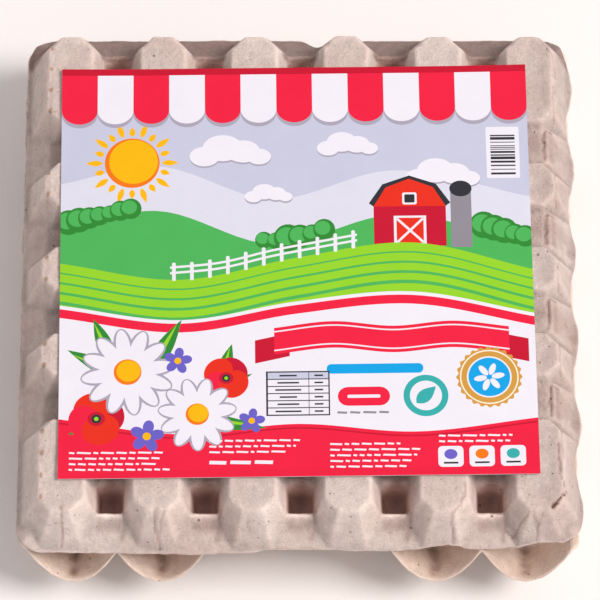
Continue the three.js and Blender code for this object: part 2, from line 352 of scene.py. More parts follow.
    def rounded(self, reach: float = 158.0, step: float = 0.5) -> HeightField:
        """Rounded relief as pulp takes it from its mould, as a field to read.

        Args:
            reach: Half the side of the field.
            step: Side of one cell.

        Returns:
            The drop below the cup bottoms.
        """
        line = np.arange(-reach, reach + step, step)
        x, y = np.meshgrid(line, line, indexing="ij")
        warp_x = x + self.wander * lattice_noise(x, y, self.wander_cells[0], self.seed + 1)
        warp_y = y + self.wander * lattice_noise(x, y, self.wander_cells[1], self.seed + 2)
        return HeightField(blurred(self.drop(warp_x, warp_y), self.edge_round / step), reach, step)


UPPER_RELIEF = CupRelief(
    saddle_drop=18.0,
    rim_drop=28.0,
    end_reach=136.0,
    cup_half=20.3,
    saddle_end=132.0,
    wall_end=146.6,
    wall_side=144.6,
    rim_chamfer=10.3,
    keel=2.6,
    keeled=(0, 1, 5),
    panelled=True,
)
LOWER_RELIEF = CupRelief(
    saddle_drop=26.0,
    rim_drop=42.0,
    end_reach=122.0,
    cup_half=24.0,
    saddle_end=131.0,
    wall_end=143.0,
    wall_side=142.6,
    rim_chamfer=12.0,
    keel=0.0,
    keeled=(),
    seed=29,
)


def grid_lines(reach_x: float, reach_y: float, cell: float) -> tuple[np.ndarray, np.ndarray]:
    """Lay out a square-celled grid over a rectangle round the origin.

    Args:
        reach_x: Half the rectangle's width.
        reach_y: Half its length.
        cell: Wanted side of a cell.

    Returns:
        The x and the y of every grid point, each of shape (columns, rows).
    """
    xs = np.linspace(-reach_x, reach_x, 2 * round(reach_x / cell) + 1)
    ys = np.linspace(-reach_y, reach_y, 2 * round(reach_y / cell) + 1)
    return np.meshgrid(xs, ys, indexing="ij")


def rounded_corners(
    x: np.ndarray, y: np.ndarray, half: Point, radii: tuple[float, float]
) -> tuple[np.ndarray, np.ndarray]:
    """Pull a rectangular grid in at its corners so that its edge turns them on an arc.

    Args:
        x: Grid places along X.
        y: Grid places along Y.
        half: Half width and half length of the rectangle.
        radii: Corner radius at the front and at the back.

    Returns:
        The moved places.
    """
    new_x, new_y = x.copy(), y.copy()
    for sign_x in (-1, 1):
        for sign_y, radius in ((-1, radii[0]), (1, radii[1])):
            a = (sign_x * x - (half[0] - radius)) / radius
            b = (sign_y * y - (half[1] - radius)) / radius
            inside = (a > 0) & (b > 0)
            turned_a = a * np.sqrt(np.maximum(0.0, 1 - b * b / 2))
            turned_b = b * np.sqrt(np.maximum(0.0, 1 - a * a / 2))
            new_x[inside] = (sign_x * (half[0] - radius + radius * turned_a))[inside]
            new_y[inside] = (sign_y * (half[1] - radius + radius * turned_b))[inside]
    return new_x, new_y


def linked_object(name: str, data: bpy.types.ID) -> bpy.types.Object:
    """Make an object of some data and link it to the scene.

    Args:
        name: Its name.
        data: A mesh, lamp or camera.

    Returns:
        The object.
    """
    made = bpy.data.objects.new(name, data)
    bpy.context.collection.objects.link(made)
    return made


@dataclass
class ShellMesh:
    """Collects points, in millimetres, and faces of one closed piece."""

    points: list[tuple[float, float, float]] = field(default_factory=list)
    faces: list[tuple[int, ...]] = field(default_factory=list)
    wear_and_shading: list[float] = field(default_factory=list)
    grime_and_shade: list[float] = field(default_factory=list)

    def add_points(
        self,
        x: np.ndarray,
        y: np.ndarray,
        z: np.ndarray,
        wear_and_shading: np.ndarray | float = 0.0,
        grime_and_shade: np.ndarray | float = 0.0,
    ) -> np.ndarray:
        """Add points.

        Args:
            x: Places along X, in millimetres.
            y: Places along Y, of the same shape.
            z: Heights, of the same shape.
            wear_and_shading: How far a place stands out as an edge, or lies in a corner where negative; it is
                painted lighter or darker by it, and it also carries painted light in the post hollows and
                scoops and painted shade in cracks and the back valleys.
            grime_and_shade: How dark and brown the pulp is painted there, from 0 to 1, for soiling and stains
                and for painted shade in hollows, valleys and creases.

        Returns:
            The numbers of the points, in the shape of x.
        """
        start = len(self.points)
        self.points.extend(zip(x.ravel().tolist(), y.ravel().tolist(), z.ravel().tolist()))
        self.wear_and_shading.extend((wear_and_shading + np.zeros_like(x)).ravel().tolist())
        self.grime_and_shade.extend((grime_and_shade + np.zeros_like(x)).ravel().tolist())
        return np.arange(start, len(self.points)).reshape(x.shape)

    def add_grid(self, numbers: np.ndarray, upwards: bool) -> None:
        """Fill a grid of points with squares that face up or down.

        Args:
            numbers: Point numbers, of shape (columns, rows).
            upwards: Whether they face up.
        """
        a = numbers[:-1, :-1].ravel()
        b = numbers[1:, :-1].ravel()
        c = numbers[1:, 1:].ravel()
        d = numbers[:-1, 1:].ravel()
        ring = (a, b, c, d) if upwards else (a, d, c, b)
        self.faces.extend(zip(*(part.tolist() for part in ring)))

    def bridge(self, first: Loop, second: Loop) -> None:
        """Join two loops of equal length, each anticlockwise from above, the first one higher or inside.

        Args:
            first: The loop that is higher or inside.
            second: The other loop.
        """
        count = len(first)
        for i in range(count):
            j = (i + 1) % count
            self.faces.append((first[i], second[i], second[j], first[j]))

    def to_object(self, name: str) -> bpy.types.Object:
        """Make the Blender object, smooth shaded, with its painted lightness, which carries painted light and
        shade, and its brown tint, which carries soiling and painted shade, as attributes.

        Args:
            name: Name of the piece.

        Returns:
            The new object, linked to the scene.
        """
        mesh = bpy.data.meshes.new(name)
        mesh.from_pydata([(x * MM, y * MM, z * MM) for x, y, z in self.points], [], self.faces)
        for key, values in (("wear_and_shading", self.wear_and_shading), ("grime_and_shade", self.grime_and_shade)):
            mesh.attributes.new(key, "FLOAT", "POINT").data.foreach_set("value", values)
        mesh.polygons.foreach_set("use_smooth", [True] * len(mesh.polygons))
        mesh.update()
        return linked_object(name, mesh)


def border_of(numbers: np.ndarray) -> Loop:
    """Walk a grid's border anticlockwise seen from above, from its front left corner.

    Args:
        numbers: The grid's point numbers.

    Returns:
        The numbers along the border.
    """
    front = numbers[:-1, 0].tolist()
    right = numbers[-1, :-1].tolist()
    back = numbers[:0:-1, -1].tolist()
    left = numbers[0, :0:-1].tolist()
    return front + right + back + left


def outward_normals(x: np.ndarray, y: np.ndarray) -> tuple[np.ndarray, np.ndarray]:
    """Unit normals in plan of a closed anticlockwise loop of points.

    Args:
        x: Places along X.
        y: Places along Y.

    Returns:
        The X and Y parts of each normal.
    """
    along_x = np.roll(x, -1) - np.roll(x, 1)
    along_y = np.roll(y, -1) - np.roll(y, 1)
    length = np.hypot(along_x, along_y)
    return along_y / length, -along_x / length


@dataclass(frozen=True)
class Stroke:
    """A crease, crack or slot pressed into the pulp along a line of places, in millimetres, darkened and
    browned along it by stains and by painted shade; with no depth it is only a band of tint.
    """

    line: tuple[Point, ...]
    half: float
    depth: float
    grime_and_shade: float

    def mask(self, x: np.ndarray, y: np.ndarray) -> np.ndarray:
        """Strength of the stroke at each place, 1 on the line and 0 away from it.

        Args:
            x: Places along X.
            y: Places along Y.

        Returns:
            The strength at each place.
        """
        nearest = np.full_like(x, 1e6)
        for (ax, ay), (bx, by) in zip(self.line[:-1], self.line[1:]):
            along_x, along_y = bx - ax, by - ay
            share = ((x - ax) * along_x + (y - ay) * along_y) / (along_x**2 + along_y**2)
            share = np.clip(share, 0.0, 1.0)
            away = (x - ax - share * along_x) ** 2 + (y - ay - share * along_y) ** 2
            nearest = np.minimum(nearest, away)
        return np.exp(-nearest / self.half**2)


@dataclass(frozen=True)
class PulpTray:
    """What both trays share: a relief, its grid's cell and a closed inner side."""

    name: str
    node: str
    relief: CupRelief
    cell: float
    core_play: float = 0.3

    def inner_side(
        self, shell: ShellMesh, loop: Loop, level: float, core_level: float, upwards: bool
    ) -> None:
        """Close the side that faces the other tray, with a stepped core over the posts.

        Args:
            shell: The mesh that grows.
            loop: Rim loop to start from, anticlockwise from above.
            level: Height of the flat parting face.
            core_level: Height of the core's face.
            upwards: Whether the side faces up.
        """
        margin = self.core_play if upwards else 0.0
        half_x, half_y = (half + margin for half in self.relief.core_half)
        start = np.array([shell.points[i] for i in loop])
        scale = np.maximum(np.abs(start[:, 0]) / half_x, np.abs(start[:, 1]) / half_y)
        for height, shrink in ((level, 1.0), (core_level, 1.0), (core_level, 0.02)):
            x = start[:, 0] / scale * shrink
            y = start[:, 1] / scale * shrink
            ring = shell.add_points(x, y, np.full_like(x, height)).tolist()
            if upwards:
                shell.bridge(ring, loop)
            else:
                shell.bridge(loop, ring)
            loop = ring
        shell.faces.append(tuple(loop if upwards else reversed(loop)))


@dataclass(frozen=True)
class LidTray(PulpTray):
    """The upper tray, turned over: cup bottoms up, with a wavy rim, a finger notch and a bent corner."""

    height: float = 78.0
    parting: float = 46.3
    core_level: float = 39.3
    half: Point = (145.5, 147.5)
    radii: tuple[float, float] = (12.0, 15.0)
    left_shift: float = 1.0
    right_shift: float = -1.2
    wave: float = 1.9
    wave_shift: float = -4.0
    notch: tuple[float, float, float] = (9.2, 9.5, 5.5)
    bend: float = 4.2
    bend_from: float = 246.0
    bend_width: float = 44.0
    rim_profile: tuple[Point, ...] = ((0.35, -0.45), (0.55, -1.2), (0.45, -2.0), (0.0, -2.6), (-1.2, -2.9))
    tear: tuple[tuple[float, float, int], ...] = ((0.22, 2.6, 0), (0.45, 11.0, 1), (0.5, 37.0, 3))
    tear_seed: int = 41
    fibres_above: float = 55.0
    # Tint and lightness strengths: painted shade at the back, browner and darker at the right, lighter torn
    # ledges, painted light in the post hollows and painted shade in the cracks.
    back_shade_tint: float = 0.54
    right_browning: float = 0.17
    ledge_brightening: float = 2.4
    hollow_painted_light: float = 4.4
    crack_painted_shade: float = -2.4
    back_shade_darkening: float = -0.5
    right_darkening: float = -0.25

    def placed(self, x: np.ndarray, y: np.ndarray) -> tuple[np.ndarray, np.ndarray]:
        """Move the square grid's places to the lid's real outline.

        Args:
            x: Places along X.
            y: Places along Y.

        Returns:
            The moved places.
        """
        x, y = rounded_corners(x, y, self.half, self.radii)
        side = ramp(np.abs(x), 130.0, 16.0)
        phase = 2 * math.pi * (y - self.relief.pitch / 2 - self.wave_shift) / self.relief.pitch
        fade = ramp(np.abs(y), 146.0, -14.0)
        right = self.right_shift + fade * self.wave * np.cos(phase)
        shift_x = np.where(x > 0, right, -self.left_shift) * side
        centre, half, depth = self.notch
        across = np.clip((x - centre) / half, -1.0, 1.0)
        shift_y = -depth * np.cos(across * math.pi / 2) ** 2 * ramp(y, 134.0, 13.0)
        front = self.front_bite(x) * ramp(-y, 137.0, 10.0)
        return x + shift_x, y + shift_y + front

    def front_bite(self, x: np.ndarray) -> np.ndarray:
        """How far the torn front edge stands back from a straight line.

        Args:
            x: Places along X.

        Returns:
            The bite at each place, in millimetres.
        """
        knots = (-150.0, -132.0, -58.0, -26.0, -12.0, 8.0, 24.0, 46.0, 58.0, 76.0, 92.0, 130.0, 150.0)
        bites = (0.0, 0.3, -0.5, -0.3, 1.9, 1.9, 0.5, 0.4, 1.4, 2.7, 2.0, 2.8, 3.4)
        return np.interp(x, knots, bites)

    def strokes(self) -> list[Stroke]:
        """Creases of the front, the crack at the right corner, the folds along both sides, bands of painted
        shade in the valleys at the left and the back, and browner bands at the right.

        Returns:
            The strokes.
        """
        found = [
            Stroke(((-122.6, -133.5), (-121.6, -137.0), (-122.4, -146.5)), 0.65, 0.9, 0.45),
            Stroke(((-73.6, -135.5), (-74.4, -140.0), (-72.6, -146.5)), 0.65, 0.9, 0.48),
            Stroke(((-69.0, -136.0), (-71.5, -139.0), (-72.6, -146.5)), 0.6, 0.6, 0.3),
            Stroke(((78.4, -136.0), (77.2, -139.5), (79.0, -142.5), (78.0, -146.5)), 0.7, 0.9, 0.5),
            Stroke(((84.8, -121.0), (84.2, -127.5), (81.8, -132.5), (78.8, -136.0)), 0.6, 0.7, 0.4),
            Stroke(((116.6, -136.5), (112.6, -139.0), (110.0, -142.0)), 0.6, 0.7, 0.42),
            Stroke(((119.0, -136.5), (122.0, -140.5), (121.5, -147.0)), 0.6, 0.8, 0.42),
            Stroke(((124.8, -136.5), (122.0, -140.5)), 0.6, 0.8, 0.42),
            Stroke(((128.8, -133.8), (129.6, -132.6), (131.6, -131.2)), 0.95, 1.1, 1.0),
            Stroke(((131.6, -131.2), (133.4, -128.6), (135.6, -127.0)), 0.5, 0.9, 0.8),
            Stroke(((134.6, -127.6), (136.4, -124.4), (133.6, -117.0), (133.0, -99.0)), 0.7, 1.2, 0.6),
            Stroke(((105.5, -138.0), (109.5, -141.5), (112.5, -147.0)), 0.7, 0.9, 0.45),
            Stroke(((-27.0, -138.5), (-25.5, -142.0)), 0.6, 0.4, 0.25),
        ]
        pitch = self.relief.pitch
        # Folds and grooves along both sides, darkened with painted shade in them.
        for row in range(-2, 3):
            middle = pitch * row
            fold = ((135.4, middle - 9.5), (134.6, middle), (135.2, middle + 9.5))
            found.append(Stroke(fold, 0.9, 1.2, 0.42))
            edge = ((-133.2, middle - 10.5), (-133.0, middle + 10.0))
            found.append(Stroke(edge, 0.7, 0.6, 0.16))
        for gap in range(4):
            middle = pitch * (gap - 1.5)
            hook = ((134.0, middle + 9), (130.4, middle + 9), (129.5, middle + 7.4), (129.5, middle - 8.0))
            found.append(Stroke(hook, 0.8, 1.8, 0.62))
            groove = ((133.4, middle + 6.5), (134.4, middle - 1.0), (133.4, middle - 7.5))
            found.append(Stroke(groove, 1.4, 0.9, 0.38))
            # Browner bands across each valley at the right.
            found.append(Stroke(((120.0, middle), (142.0, middle)), 9.0, 0.0, 0.3))
            found.append(Stroke(((133.4, middle + 6.0), (133.4, middle - 7.0)), 2.8, 0.5, 0.44))
            # Painted shade: a darker band across each valley at the left.
            found.append(Stroke(((-124.0, middle), (-139.0, middle - 2.0)), 6.0, 0.0, 0.14))
        for patch in (-78.0, -29.0, 20.0):
            found.append(Stroke(((143.2, patch - 1.5), (144.0, patch + 1.0)), 3.2, 0.3, 0.4))
        for column in range(-2, 3):
            x = pitch * column
            # Painted shade in each back valley and along the back rim's crease, and a browner streak beside
            # each front hollow.
            found.append(Stroke(((x - 3.0, 134.0), (x + 3.0, 140.0)), 7.0, 0.0, 0.34))
            found.append(Stroke(((x - 5.5, 137.0), (x + 5.5, 136.6)), 0.8, 0.5, 0.45))
            found.append(Stroke(((x + 7.8, -132.5), (x + 7.4, -138.0), (x + 6.2, -142.5)), 1.7, 0.0, 0.34))
        for column in range(6):
            x = pitch * (column - 2.5)
            found.append(Stroke(((x - 9.8, 130.4), (x - 8.8, 132.2)), 1.0, 0.2, 0.3))
        found.append(Stroke(((127.5, 136.5), (131.0, 131.0), (135.6, 124.0), (136.0, 114.0)), 0.8, 1.2, 0.4))
        return found

    def pits(self, x: np.ndarray, y: np.ndarray) -> tuple[np.ndarray, np.ndarray, np.ndarray]:
        """Find the post hollows with painted light on their walls, their painted brown shade and the torn
        ledges at the front and back ones.

        Args:
            x: Places along X.
            y: Places along Y.

        Returns:
            The strength of the painted light in the hollows, of the painted shade and of the ledges, from 0
            to 1.
        """
        pitch = self.relief.pitch
        middle = x - np.clip(np.round(x / pitch), -2, 2) * pitch
        across = np.abs(middle)
        along = (y - (np.clip(np.round(y / pitch - 0.5), -3, 2) + 0.5) * pitch) * np.sign(y)
        outer = ramp(along, 8.7, -1.2)
        hollow = ramp(across, 8.6, -2.2) * outer * ramp(along, -8.4, 2.6)
        # Painted shade: a dark middle in each hollow, a soft halo round it and a band under its ledge, all
        # brown.
        shade = np.exp(-(((middle - 0.8) / 4.0) ** 2) - ((along + 3.0) / 11.0) ** 2) * outer
        halo = np.exp(-((across / 9.5) ** 2) - ((along + 3.0) / 12.0) ** 2) * outer
        below = hill(np.abs(y), 136.5, 2.8) * ramp(across, 8.0, -3.0)
        frayed = np.abs(y) - 132.2 - 0.6 * lattice_noise(x, y, 1.7, 61)
        ledge = hill(frayed, 0.0, 0.9) * ramp(across, 7.6, -1.4)
        brown = np.maximum(0.35 * halo + 0.35 * hollow + 0.45 * shade, 0.34 * below)
        # Painted light on the hollows' walls, less in their dark middle.
        return hollow * (1.15 - 0.75 * shade), np.minimum(brown, 0.62), ledge

    def lifted(self, x: np.ndarray, y: np.ndarray, drop: np.ndarray) -> np.ndarray:
        """Bend the rim's front right corner up a little."""
        corner = ramp(x - y, self.bend_from, self.bend_width)
        return drop - self.bend * corner * ramp(drop, 6.0, 20.0)

    def rim_rings(self, shell: ShellMesh, loop: Loop) -> Loop:
        """Carry a loop down round the rim's rounded, torn edge.

        Args:
            shell: The mesh that grows.
            loop: The loop to start from, anticlockwise from above.

        Returns:
            The last loop.
        """
        start = np.array([shell.points[i] for i in loop])
        x0, y0, seed = start[:, 0], start[:, 1], self.tear_seed
        normal_x, normal_y = outward_normals(x0, y0)
        ragged = sum(size * lattice_noise(x0, y0, cell, seed + step) for size, cell, step in self.tear)
        rise = 0.25 * lattice_noise(x0, y0, 5.0, seed + 2)
        for reach, lift in self.rim_profile:
            out = reach + ragged * min(1.0, abs(lift))
            x, y = x0 + normal_x * out, y0 + normal_y * out
            # Soiling and painted shade along the rim's torn edge, stronger on the left side, which lies in
            # shade; the rounded edge is painted lighter.
            edge = 0.2 + 0.35 * ramp(-x, 141.0, 3.0)
            torn = edge * (0.6 + 0.4 * lattice_noise(x, y, 3.7, seed + 4))
            ring = shell.add_points(x, y, start[:, 2] + lift + rise * 0.4, 0.6, torn).tolist()
            shell.bridge(loop, ring)
            loop = ring
        return loop

    def build(self) -> bpy.types.Object:
        """Make the lid's closed mesh.

        Returns:
            The lid as one object.
        """
        shell = ShellMesh()
        relief = self.relief.rounded()
        x, y = self.placed(*grid_lines(*self.half, self.cell))
        drop = relief.at(x, y)
        hollow, grime_and_shade, ledge = self.pits(x, y)
        # Browner and darker towards the right side.
        right = ramp(x, 118.0, 14.0)
        grime_and_shade = np.maximum(grime_and_shade, self.right_browning * right)
        # Painted shade: the back valleys between the cups are painted browner and darker.
        back = ramp(y, 127.0, 4.0) * ramp(drop, 5.0, 9.0)
        grime_and_shade = np.maximum(grime_and_shade, self.back_shade_tint * back)
        crack = np.zeros_like(x)
        frayed_x = x + 0.5 * lattice_noise(x, y, 2.1, 81)
        frayed_y = y + 0.5 * lattice_noise(x, y, 2.1, 82)
        for stroke in self.strokes():
            mask = stroke.mask(frayed_x, frayed_y)
            drop = drop + stroke.depth * mask
            grime_and_shade = np.maximum(grime_and_shade, stroke.grime_and_shade * mask)
            # Strokes strong enough to be cracks get painted shade in them.
            crack = np.maximum(crack, (stroke.grime_and_shade > 0.7) * mask)
        drop = self.lifted(x, y, drop) - 1.2 * ledge
        # Edges lighter and corners darker as painted shade; then lighter torn ledges, painted light on the
        # hollows' walls, painted shade in the cracks and the back valleys, and darker towards the right.
        wear_and_shading = relief.wear_and_shading_at(x, y)
        wear_and_shading += self.ledge_brightening * ledge + self.hollow_painted_light * hollow + self.crack_painted_shade * crack
        wear_and_shading += self.back_shade_darkening * back + self.right_darkening * right
        drop += skin_noise(x, y, 5)
        numbers = shell.add_points(x, y, self.height - np.maximum(drop, 0.02), wear_and_shading, grime_and_shade)
        shell.add_grid(numbers, upwards=True)
        loop = self.rim_rings(shell, border_of(numbers))
        self.inner_side(shell, loop, self.parting, self.core_level, upwards=False)
        return shell.to_object(self.name)


@dataclass(frozen=True)
class BaseTray(PulpTray):
    """The lower tray: cup bottoms down, with scoops where its end cups flare out past the lid."""

    rim: float = 46.0
    core_level: float = 39.0
    half: Point = (144.0, 144.0)
    scoop_centres: tuple[float, ...] = (-117.4, -71.8, 70.6, 117.4)
    scoop_half: float = 22.5
    scoop_reach: float = 154.1
    scoop_side_reach: float = 146.1
    scoop_outline_curve: float = 2.2
    scoop_foot_half: float = 7.0
    scoop_foot_reach: float = 121.0
    scoop_lip: float = 25.0
    scoop_lip_curve: float = 1.8
    scoop_inner_reach: float = 132.5
    scoop_inner_height: float = 14.0
    scoop_inner_curve: float = 1.15
    scoop_start: float = 112.0
    wall: float = 2.4
    inner_half: float = 131.0
    corner_radius: float = 4.0
    foot_clearance: float = 0.4
    fibres_above: float = 1.0

    def scoop_across(self, x: np.ndarray, y: np.ndarray) -> np.ndarray:
        """Place across the nearest scoop, -1 to 1 inside it. The back has the same scoops, turned round.

        Args:
            x: Places along X.
            y: Places along Y.

        Returns:
            The place across, well past 1 far from any scoop.
        """
        turned = np.where(y > 0, -x, x)
        best = np.full_like(x, 9.0)
        for centre in self.scoop_centres:
            across = (turned - centre) / self.scoop_half
            best = np.where(np.abs(across) < np.abs(best), across, best)
        return best

    def scoop_floor(self, across: np.ndarray, reach: np.ndarray) -> np.ndarray:
        """Height of the scoops' floor, pointed at the inner wall and round at the lip.

        Args:
            across: Places across the scoop, -1 to 1.
            reach: Distances from the middle, along Y.

        Returns:
            The height at each place.
        """
        side = np.clip(np.abs(across), 0.0, 1.0)
        inner = self.scoop_inner_height
        inner = inner + (self.rim - inner) * side**self.scoop_inner_curve
        lip = self.scoop_lip + (self.rim - self.scoop_lip) * side**self.scoop_lip_curve
        share = (reach - self.scoop_inner_reach) / (self.scoop_reach - self.scoop_inner_reach)
        return inner + (lip - inner) * np.clip(share, 0.0, 1.0)

    def lip_reach(self, across: np.ndarray) -> np.ndarray:
        """How far the scoops' lips stand out; the rim's reach outside the scoops.

        Args:
            across: Places across the nearest scoop.

        Returns:
            The reach at each place, along Y.
        """
        side = np.abs(across)
        lip = self.scoop_reach - (self.scoop_reach - self.scoop_side_reach) * side**self.scoop_outline_curve
        return self.half[1] + (lip - self.half[1]) * ramp(side, 1.12, -0.16)

    def scoop_wall(self, across: np.ndarray, reach: np.ndarray) -> np.ndarray:
        """Height of the scoops' outer wall, which flares from the foot to the lip's underside.

        Args:
            across: Places across the scoop, -1 to 1.
            reach: Distances from the middle, along Y.

        Returns:
            The height at each place.
        """
        offset = np.abs(across) * self.scoop_half
        flare = self.scoop_reach - self.scoop_side_reach
        low, high = np.zeros_like(reach), np.ones_like(reach)
        for _ in range(18):
            share = (low + high) / 2
            half = self.scoop_foot_half + (self.scoop_half - self.scoop_foot_half) * share
            side = np.clip(offset / half, 0.0, 1.0)
            lip = self.scoop_reach - flare * side**self.scoop_outline_curve
            front = self.scoop_foot_reach + (lip - self.scoop_foot_reach) * share
            inside = (reach <= front) & (offset <= half)
            high = np.where(inside, share, high)
            low = np.where(inside, low, share)
        half = self.scoop_foot_half + (self.scoop_half - self.scoop_foot_half) * high
        side = np.clip(offset / half, 0.0, 1.0)
        top = self.scoop_lip + (self.rim - self.scoop_lip) * side**self.scoop_lip_curve - self.wall
        return high * top

    def top_at(self, x: np.ndarray, y: np.ndarray) -> np.ndarray:
        """Height of the side that faces the lid.

        Args:
            x: Places along X.
            y: Places along Y.

        Returns:
            The height at each place.
        """
        reach = np.abs(y)
        inside = ramp(reach, self.scoop_inner_reach, 1.6)
        across = self.scoop_across(x, y)
        floor = self.rim + (self.scoop_floor(across, reach) - self.rim) * inside
        return np.where(np.abs(across) < 1, floor, self.rim)

    def build(self) -> bpy.types.Object:
        """Make the lower tray's closed mesh.

        Returns:
            The tray as one object.
        """
        shell = ShellMesh()
        relief = self.relief.rounded()
        x, y = grid_lines(*self.half, self.cell)
        across = self.scoop_across(x, y)
        reach = self.lip_reach(across)
        end = ramp(np.abs(y), self.scoop_start, self.half[1] - self.scoop_start)
        y = y + np.sign(y) * end * (reach - self.half[1])
        just_past = self.half[0], self.half[1] + 0.001
        x, y = rounded_corners(x, y, just_past, (self.corner_radius, self.corner_radius))
        outer = relief.at(x, y)
        across = self.scoop_across(x, y)
        near_scoop = (np.abs(y) > self.scoop_start) & (np.abs(across) < 1.0)
        outer = np.where(near_scoop, np.minimum(outer, self.scoop_wall(across, np.abs(y))), outer)
        top = self.top_at(x, y)
        outer = np.minimum(outer, top - self.wall)
        outer += skin_noise(x, y, 15)
        outer = np.maximum(outer, self.foot_clearance)
        numbers = shell.add_points(x, y, outer, relief.wear_and_shading_at(x, y))
        shell.add_grid(numbers, upwards=False)
        loop = self.rim_band(shell, border_of(numbers))
        self.inner_side(shell, loop, self.rim, self.core_level, upwards=True)
        return shell.to_object(self.name)

    def rim_band(self, shell: ShellMesh, edge: Loop) -> Loop:
        """Close the rim's rounded edge and the scoops' insides, ring by ring inwards.

        Args:
            shell: The mesh that grows.
            edge: The outer loop, anticlockwise from above.

        Returns:
            The innermost loop, on the flat parting face.
        """
        start = np.array([shell.points[i] for i in edge])
        x0, y0 = start[:, 0], start[:, 1]
        out_x, out_y = outward_normals(x0, y0)
        ragged = 0.25 * lattice_noise(x0, y0, 3.0, 71)
        top = self.top_at(x0, y0)
        loop = edge
        for out, share in ((0.45, 0.3), (0.45, 0.75)):
            ring_x = x0 + out_x * (out + ragged)
            ring_y = y0 + out_y * (out + ragged)
            ring_z = start[:, 2] + (top - start[:, 2]) * share
            # The rim's rounded edge is painted lighter.
            ring = shell.add_points(ring_x, ring_y, ring_z, 1.3).tolist()
            shell.bridge(ring, loop)
            loop = ring
        on_end = np.abs(y0) >= self.half[1] - 0.01
        for share in (0.02, *np.linspace(0.07, 0.8, 12), 0.84, 0.88, 0.92, 0.96, 1.0):
            scale = 1 - share * (1 - self.inner_half / self.half[0])
            ring_x = x0 * scale
            inwards = np.sign(y0) * (np.abs(y0) + share * (self.inner_half - np.abs(y0)))
            ring_y = np.where(on_end, inwards, y0 * scale)
            ring_z = self.top_at(ring_x, ring_y)
            across = self.scoop_across(ring_x, ring_y)
            uneven = 0.55 + 0.3 * lattice_noise(ring_x, ring_y, 2.2, 72)
            # Painted shade: a dark brown line down the crease of each scoop, stronger near the rim.
            crease = hill(across, -0.02, 0.12) * uneven
            crease *= 0.65 + 0.3 * hill(np.abs(ring_y), 148.5, 3.2)
            grime_and_shade = on_end * crease * ramp(np.abs(ring_y), 153.2, -2.5)
            in_scoop = on_end * (np.abs(across) < 1.0)
            # Painted light: the half on the right of the crease is painted lighter, against the lid's shadow.
            # At the back, across runs the other way.
            painted_light_half = np.tanh((across - 0.05) / 0.12) * np.sign(-ring_y) * in_scoop
            ring = shell.add_points(ring_x, ring_y, ring_z, 0.65 + 0.4 * painted_light_half, grime_and_shade).tolist()
            shell.bridge(ring, loop)
            loop = ring
        return loop


class Ink(Enum):
    """Inks of the card label, as sRGB hex values, matched to the printed fields in the photo."""

    STOCK = "#ECEDF8"
    WASH = "#C6CBE2"
    HAZE = "#DBDFEF"
    WASH_DEEP = "#A9A7B9"
    RED = "#EC1F42"
    DEEP_RED = "#C51132"
    POPPY = "#E5301C"
    ORANGE = "#F27A12"
    YELLOW = "#FBBB06"
    CREAM = "#FBF3DF"
    LIME = "#93D62B"
    GREEN = "#4DB65C"
    LEAF = "#2F8A34"
    BLUE = "#08A5EA"
    TEAL = "#35AFAE"
    GOLD = "#D09C45"
    VIOLET = "#6A62C8"
    CHARCOAL = "#2F3138"
    GREY = "#8F8D98"


@dataclass(frozen=True)
class PrintShape:
    """One flat printed shape: its ink and its outline in the label's own millimetres."""

    ink: Ink
    outline: tuple[Point, ...]


def turned_to(centre: Point, turn: float, u: float, v: float = 0.0) -> Point:
    """Turn a place anticlockwise about the origin by degrees and carry it to a centre."""
    cos, sin = math.cos(math.radians(turn)), math.sin(math.radians(turn))
    return centre[0] + u * cos - v * sin, centre[1] + u * sin + v * cos


def oval(centre: Point, half: Point, turn: float = 0.0, steps: int = 28) -> tuple[Point, ...]:
    """Outline of an oval.

    Args:
        centre: Its middle.
        half: Half its width and half its height.
        turn: Turn in degrees, anticlockwise.
        steps: Points round it.

    Returns:
        The outline, anticlockwise.
    """
    angles = [2 * math.pi * i / steps for i in range(steps)]
    return tuple(turned_to(centre, turn, half[0] * math.cos(a), half[1] * math.sin(a)) for a in angles)


def scalloped(centre: Point, radius: float, lobes: int, depth: float) -> tuple[Point, ...]:
    """Outline of a round seal with a scalloped edge.

    Args:
        centre: Its middle.
        radius: Reach of the lobes' tips.
        lobes: How many lobes.
        depth: Depth of the dips between them.

    Returns:
        The outline, anticlockwise.
    """
    steps = lobes * 6
    points = []
    for i in range(steps):
        angle = 2 * math.pi * i / steps
        reach = radius - depth * (0.5 - 0.5 * math.cos(lobes * angle))
        points.append((centre[0] + reach * math.cos(angle), centre[1] + reach * math.sin(angle)))
    return tuple(points)


def box(centre: Point, size: Point, radius: float = 0.0, turn: float = 0.0) -> tuple[Point, ...]:
    """Outline of a rectangle with rounded corners.

    Args:
        centre: Its middle.
        size: Width and height.
        radius: Corner radius.
        turn: Turn in degrees, anticlockwise.

    Returns:
        The outline, anticlockwise.
    """
    half_x, half_y = size[0] / 2 - radius, size[1] / 2 - radius
    steps = 5 if radius > 0.6 else 1
    corners = ((half_x, half_y), (-half_x, half_y), (-half_x, -half_y), (half_x, -half_y))
    points = []
    for quarter, (x, y) in enumerate(corners):
        for i in range(steps):
            share = i / (steps - 1) if steps > 1 else 0.0
            angle = math.pi / 2 * (quarter + share)
            u, v = x + radius * math.cos(angle), y + radius * math.sin(angle)
            points.append(turned_to(centre, turn, u, v))
    return tuple(points)


